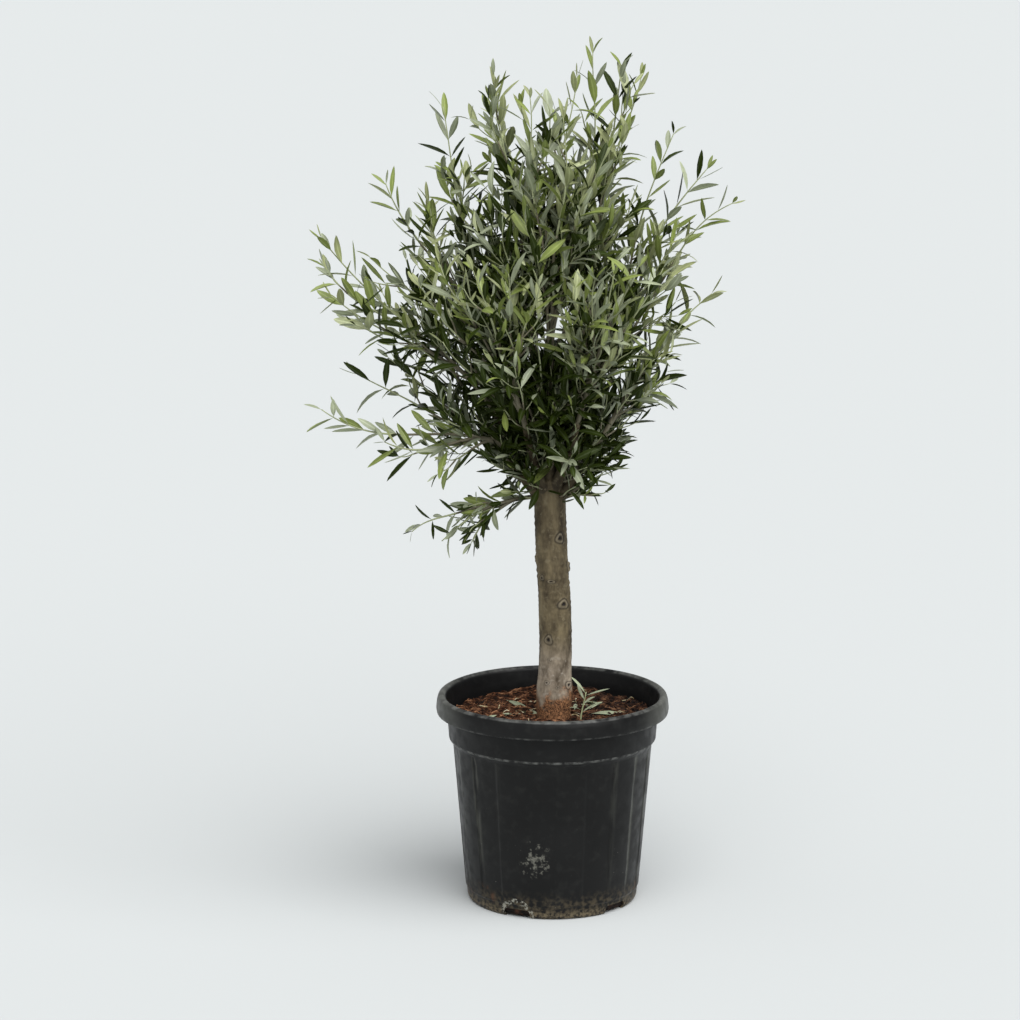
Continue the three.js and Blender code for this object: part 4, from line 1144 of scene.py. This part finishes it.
# The range of tints of leaders, twigs and finer twigs, that of twigs on the boughs, and the limits
# between the five tints
SHOOT_TINTS = [(0.2, 0.8), (0.15, 1.0), (0.2, 1.0)]
# Twigs on the boughs, deep in the crown, take the darker tints as painted shade
INNER_TINTS = (0.6, 1.1)
TINT_LIMITS = [0.0, 0.32, 0.6, 0.88]

# How far a leaf's tip may pass the crown's box, and how near it may come to the trunk's line
ROOM_BELOW = 14
ROOM_ABOVE = 16
TRUNK_ROOM = 34
leaf_sets = []


def add_leaves(paths, first, last, spacing, kept, chance, tint):
    """Leaf pairs along shoots: they lean out by half a right angle, less towards the tip, where they are
    also smaller, and their upper faces turn to the shoot's tip and to the sky. Tints are darker near the
    crown's heart and paler at the tips."""
    found = buds(paths, spacing, first, last, chance)
    owner, share, root, line, outward = thin(found, chance.random(len(found[0])) <= kept)
    count = len(owner)
    tip = smooth_step(0.9, 1.0, share)
    degrees = chance.normal(46 - 20 * tip, 12)
    direction = unit(chance.normal(lean_out(line, outward, degrees, 0.1), 0.1))
    length = LEAF_LENGTH * (1 - 0.42 * tip) * chance.uniform(0.72, 1.14, count)
    length = length * (0.72 + 0.28 * smooth_step(640, 800, root[:, 2]))
    depth = crown_depth(root)
    outer = smooth_step(0.45, 0.95, depth)
    width = length * (LEAF_SLENDER + 0.025 * outer) * chance.uniform(0.85, 1.2, count)
    sky = UP - direction[:, 2:] * direction
    face = chance.normal(square_part(line, direction) + 0.75 * sky, 0.38)
    face = square_part(face, direction)
    fold = np.clip(chance.normal(0.36, 0.2, count) - 0.1 * outer, 0.02, 1.0)
    bend = chance.normal(-0.15, 0.5, count) * (1 - 0.45 * outer)
    sickle = chance.normal(0, 0.08, count)
    pick = chance.normal(tint[owner], 0.27) - 0.1 * tip
    # Painted shade: leaves near the crown's heart are pushed towards the darker tints
    pick = pick + 0.85 * (1 - smooth_step(0.15, 0.7, depth))
    # Darker low in the crown: partly older leaves, partly painted shade
    pick = pick + 0.34 * (1 - smooth_step(680, 1080, root[:, 2]))
    leaf_sets.append((root, direction, face, length, width, fold, bend, sickle, pick))


for number, shoots in enumerate(crown):
    chance = np.random.default_rng(LEAF_SEED + number)
    bare = np.where(lengths_of(shoots[0]) < 300, 0.16, 0.26)[:, None]
    step = LEAF_STEP * (0.75 if MASSES[number][3][2] < FORK_HEIGHT else 1)
    tints = [chance.uniform(*ends, len(paths)) for ends, paths in zip(SHOOT_TINTS, shoots)]
    add_leaves(shoots[0], bare, 0.995, step, 0.9, chance, tints[0])
    add_leaves(shoots[1], 0.2, 0.99, step, 0.82, chance, tints[1])
    add_leaves(shoots[2], 0.16, 0.99, TWIGLET_LEAF_STEP, 0.86, chance, tints[2])
for number, shoots in enumerate(inner):
    chance = np.random.default_rng(LEAF_SEED + len(MASSES) + number)
    for paths, first, step in zip(shoots, (0.2, 0.16), (LEAF_STEP, TWIGLET_LEAF_STEP)):
        add_leaves(paths, first, 0.99, step, 0.86, chance, chance.uniform(*INNER_TINTS, len(paths)))
columns = [np.concatenate(column) for column in zip(*leaf_sets)]

leaf_tip = columns[0] + columns[1] * columns[3][:, None]
trunk_gap = np.hypot(*(leaf_tip - trunk_point(leaf_tip[:, 2]))[:, :2].T)
inside = ((leaf_tip > crown_low - ROOM_BELOW) & (leaf_tip < crown_high + ROOM_ABOVE)).all(axis=1)
inside &= (trunk_gap > TRUNK_ROOM) | (leaf_tip[:, 2] > TRUNK_TOP + 10)
*columns, pick = thin(columns, inside)
tint_of = np.digitize(pick, TINT_LIMITS)
for number, tint in enumerate(TINTS):
    new_leaves(f"leaves_{tint}", tint, thin(columns, tint_of == number))

# The young shoot at the foot
# A thin green stem that has come up through the mix beside the trunk, with a few small leaves, and
# fallen leaves that lie on the mix round it.
SPROUT_PLACE = (48, -24)
SPROUT_STEM = (9, 4, 52)

# Each of its leaves: how far up the stem it stands, its bearing, its length and how steeply it rises
SPROUT_LEAVES = [
    (0.32, 20, 38, 0.6), (0.4, 200, 26, 0.6), (0.6, 50, 34, 0.5), (0.76, 130, 32, 0.9), (0.9, 12, 44, 0.3),
    (0.96, 152, 42, 1.2),
]

# Each fallen leaf: the place of its stalk on the mix, its bearing and its length
FALLEN = [
    (-80, 92, 318, 62), (-84, 6, 28, 40), (-66, 30, 350, 38), (-52, 14, 200, 36), (-40, 40, 300, 34),
    (66, 4, 14, 72), (40, 60, 20, 44), (52, 84, 340, 48), (84, 96, 215, 40), (64, 40, 60, 42),
    (38, 22, 80, 38), (90, 62, 150, 38), (-20, -110, 200, 50), (110, -60, 120, 46), (-120, -50, 60, 48),
    (10, 130, 170, 50),
]


foot_chance = np.random.default_rng(5)


def loose_leaves(name, root, direction, face, length, replaced=()):
    """A few grey leaves placed one by one, in one piece."""
    fold = foot_chance.uniform(0.1, 0.4, len(root))
    bend = foot_chance.uniform(-0.5, 0.1, len(root))
    sickle = foot_chance.normal(0, 0.06, len(root))
    leaves = (root, direction, face, length, length * LEAF_SLENDER, fold, bend, sickle)
    new_leaves(name, "grey", leaves, replaced)


stem_root = np.array([*SPROUT_PLACE, SOIL_HEIGHT - 2.0])
stem_end = stem_root + np.array(SPROUT_STEM)
stem = sweep(stem_root[None], UP[None], stem_end[None], 0.2, 10)
finish_piece(new_tubes("sprout_stem", stem, tapers(stem, 1.5, 0.9), 8), *green_rind)
at, bearing, size, climb = np.array(SPROUT_LEAVES).T
leaf_root, _ = along(stem, np.zeros(len(at), int), at)
leaf_way = unit(polar(bearing, 1.0, 0.0) + UP * climb[:, None])
leaf_face = square_part(UP, leaf_way)
loose_leaves("sprout_leaves", leaf_root, leaf_way, leaf_face, size, ["foliage_foot_sprout"])
x, y, bearing, size = np.array(FALLEN, float).T
fallen_root = np.stack([x, y, mix_top(x, y) + 3.5], -1)
fallen_end = fallen_root + polar(bearing, size, 0.0)
fallen_end[:, 2] = mix_top(fallen_end[:, 0], fallen_end[:, 1]) + 4
fallen_way = unit(fallen_end - fallen_root)
fallen_face = square_part(unit(foot_chance.normal(UP, 0.25, (len(x), 3))), fallen_way)
loose_leaves("fallen_leaves", fallen_root, fallen_way, fallen_face, size)

# The studio
# A plain pale floor that runs out of view, an even pale sky, and two broad soft lights.
FLOOR_REACH = 90
floor_mesh = bpy.data.meshes.new("floor")
floor_corners = FLOOR_REACH * np.array([[-1.0, -1, 0], [1, -1, 0], [1, 1, 0], [-1, 1, 0]])
floor_mesh.from_pydata(floor_corners.tolist(), [], [(0, 1, 2, 3)])
floor = bpy.data.objects.new("floor", floor_mesh)
scene.collection.objects.link(floor)
floor_material, floor_tree, floor_shader, _ = new_material("matt_pale_floor")
floor_look = {"Base Color": linear("#c0c3c3"), "Roughness": 1.0, "Specular IOR Level": 0.0}
feed(floor_tree, floor_shader, floor_look)
floor_mesh.materials.append(floor_material)

scene.world = bpy.data.worlds.new("studio")
scene.world.use_nodes = True
sky = scene.world.node_tree
feed(sky, sky.nodes["Background"], {"Color": linear("#f2f5f7"), "Strength": 0.42})

# Each light: its name, strength, the width of its disc in degrees, and its bearing and height
LIGHTS = [("key", 3.95, 70, 300, 56), ("fill", 0.45, 90, 215, 40)]
for light_name, strength, disc, bearing, climb in LIGHTS:
    light = bpy.data.lights.new(light_name, "SUN")
    light.energy = strength
    light.angle = np.radians(disc)
    lamp = bpy.data.objects.new(light_name, light)
    lamp.rotation_euler = (np.radians(90 - climb), 0, np.radians(bearing + 90))
    scene.collection.objects.link(lamp)
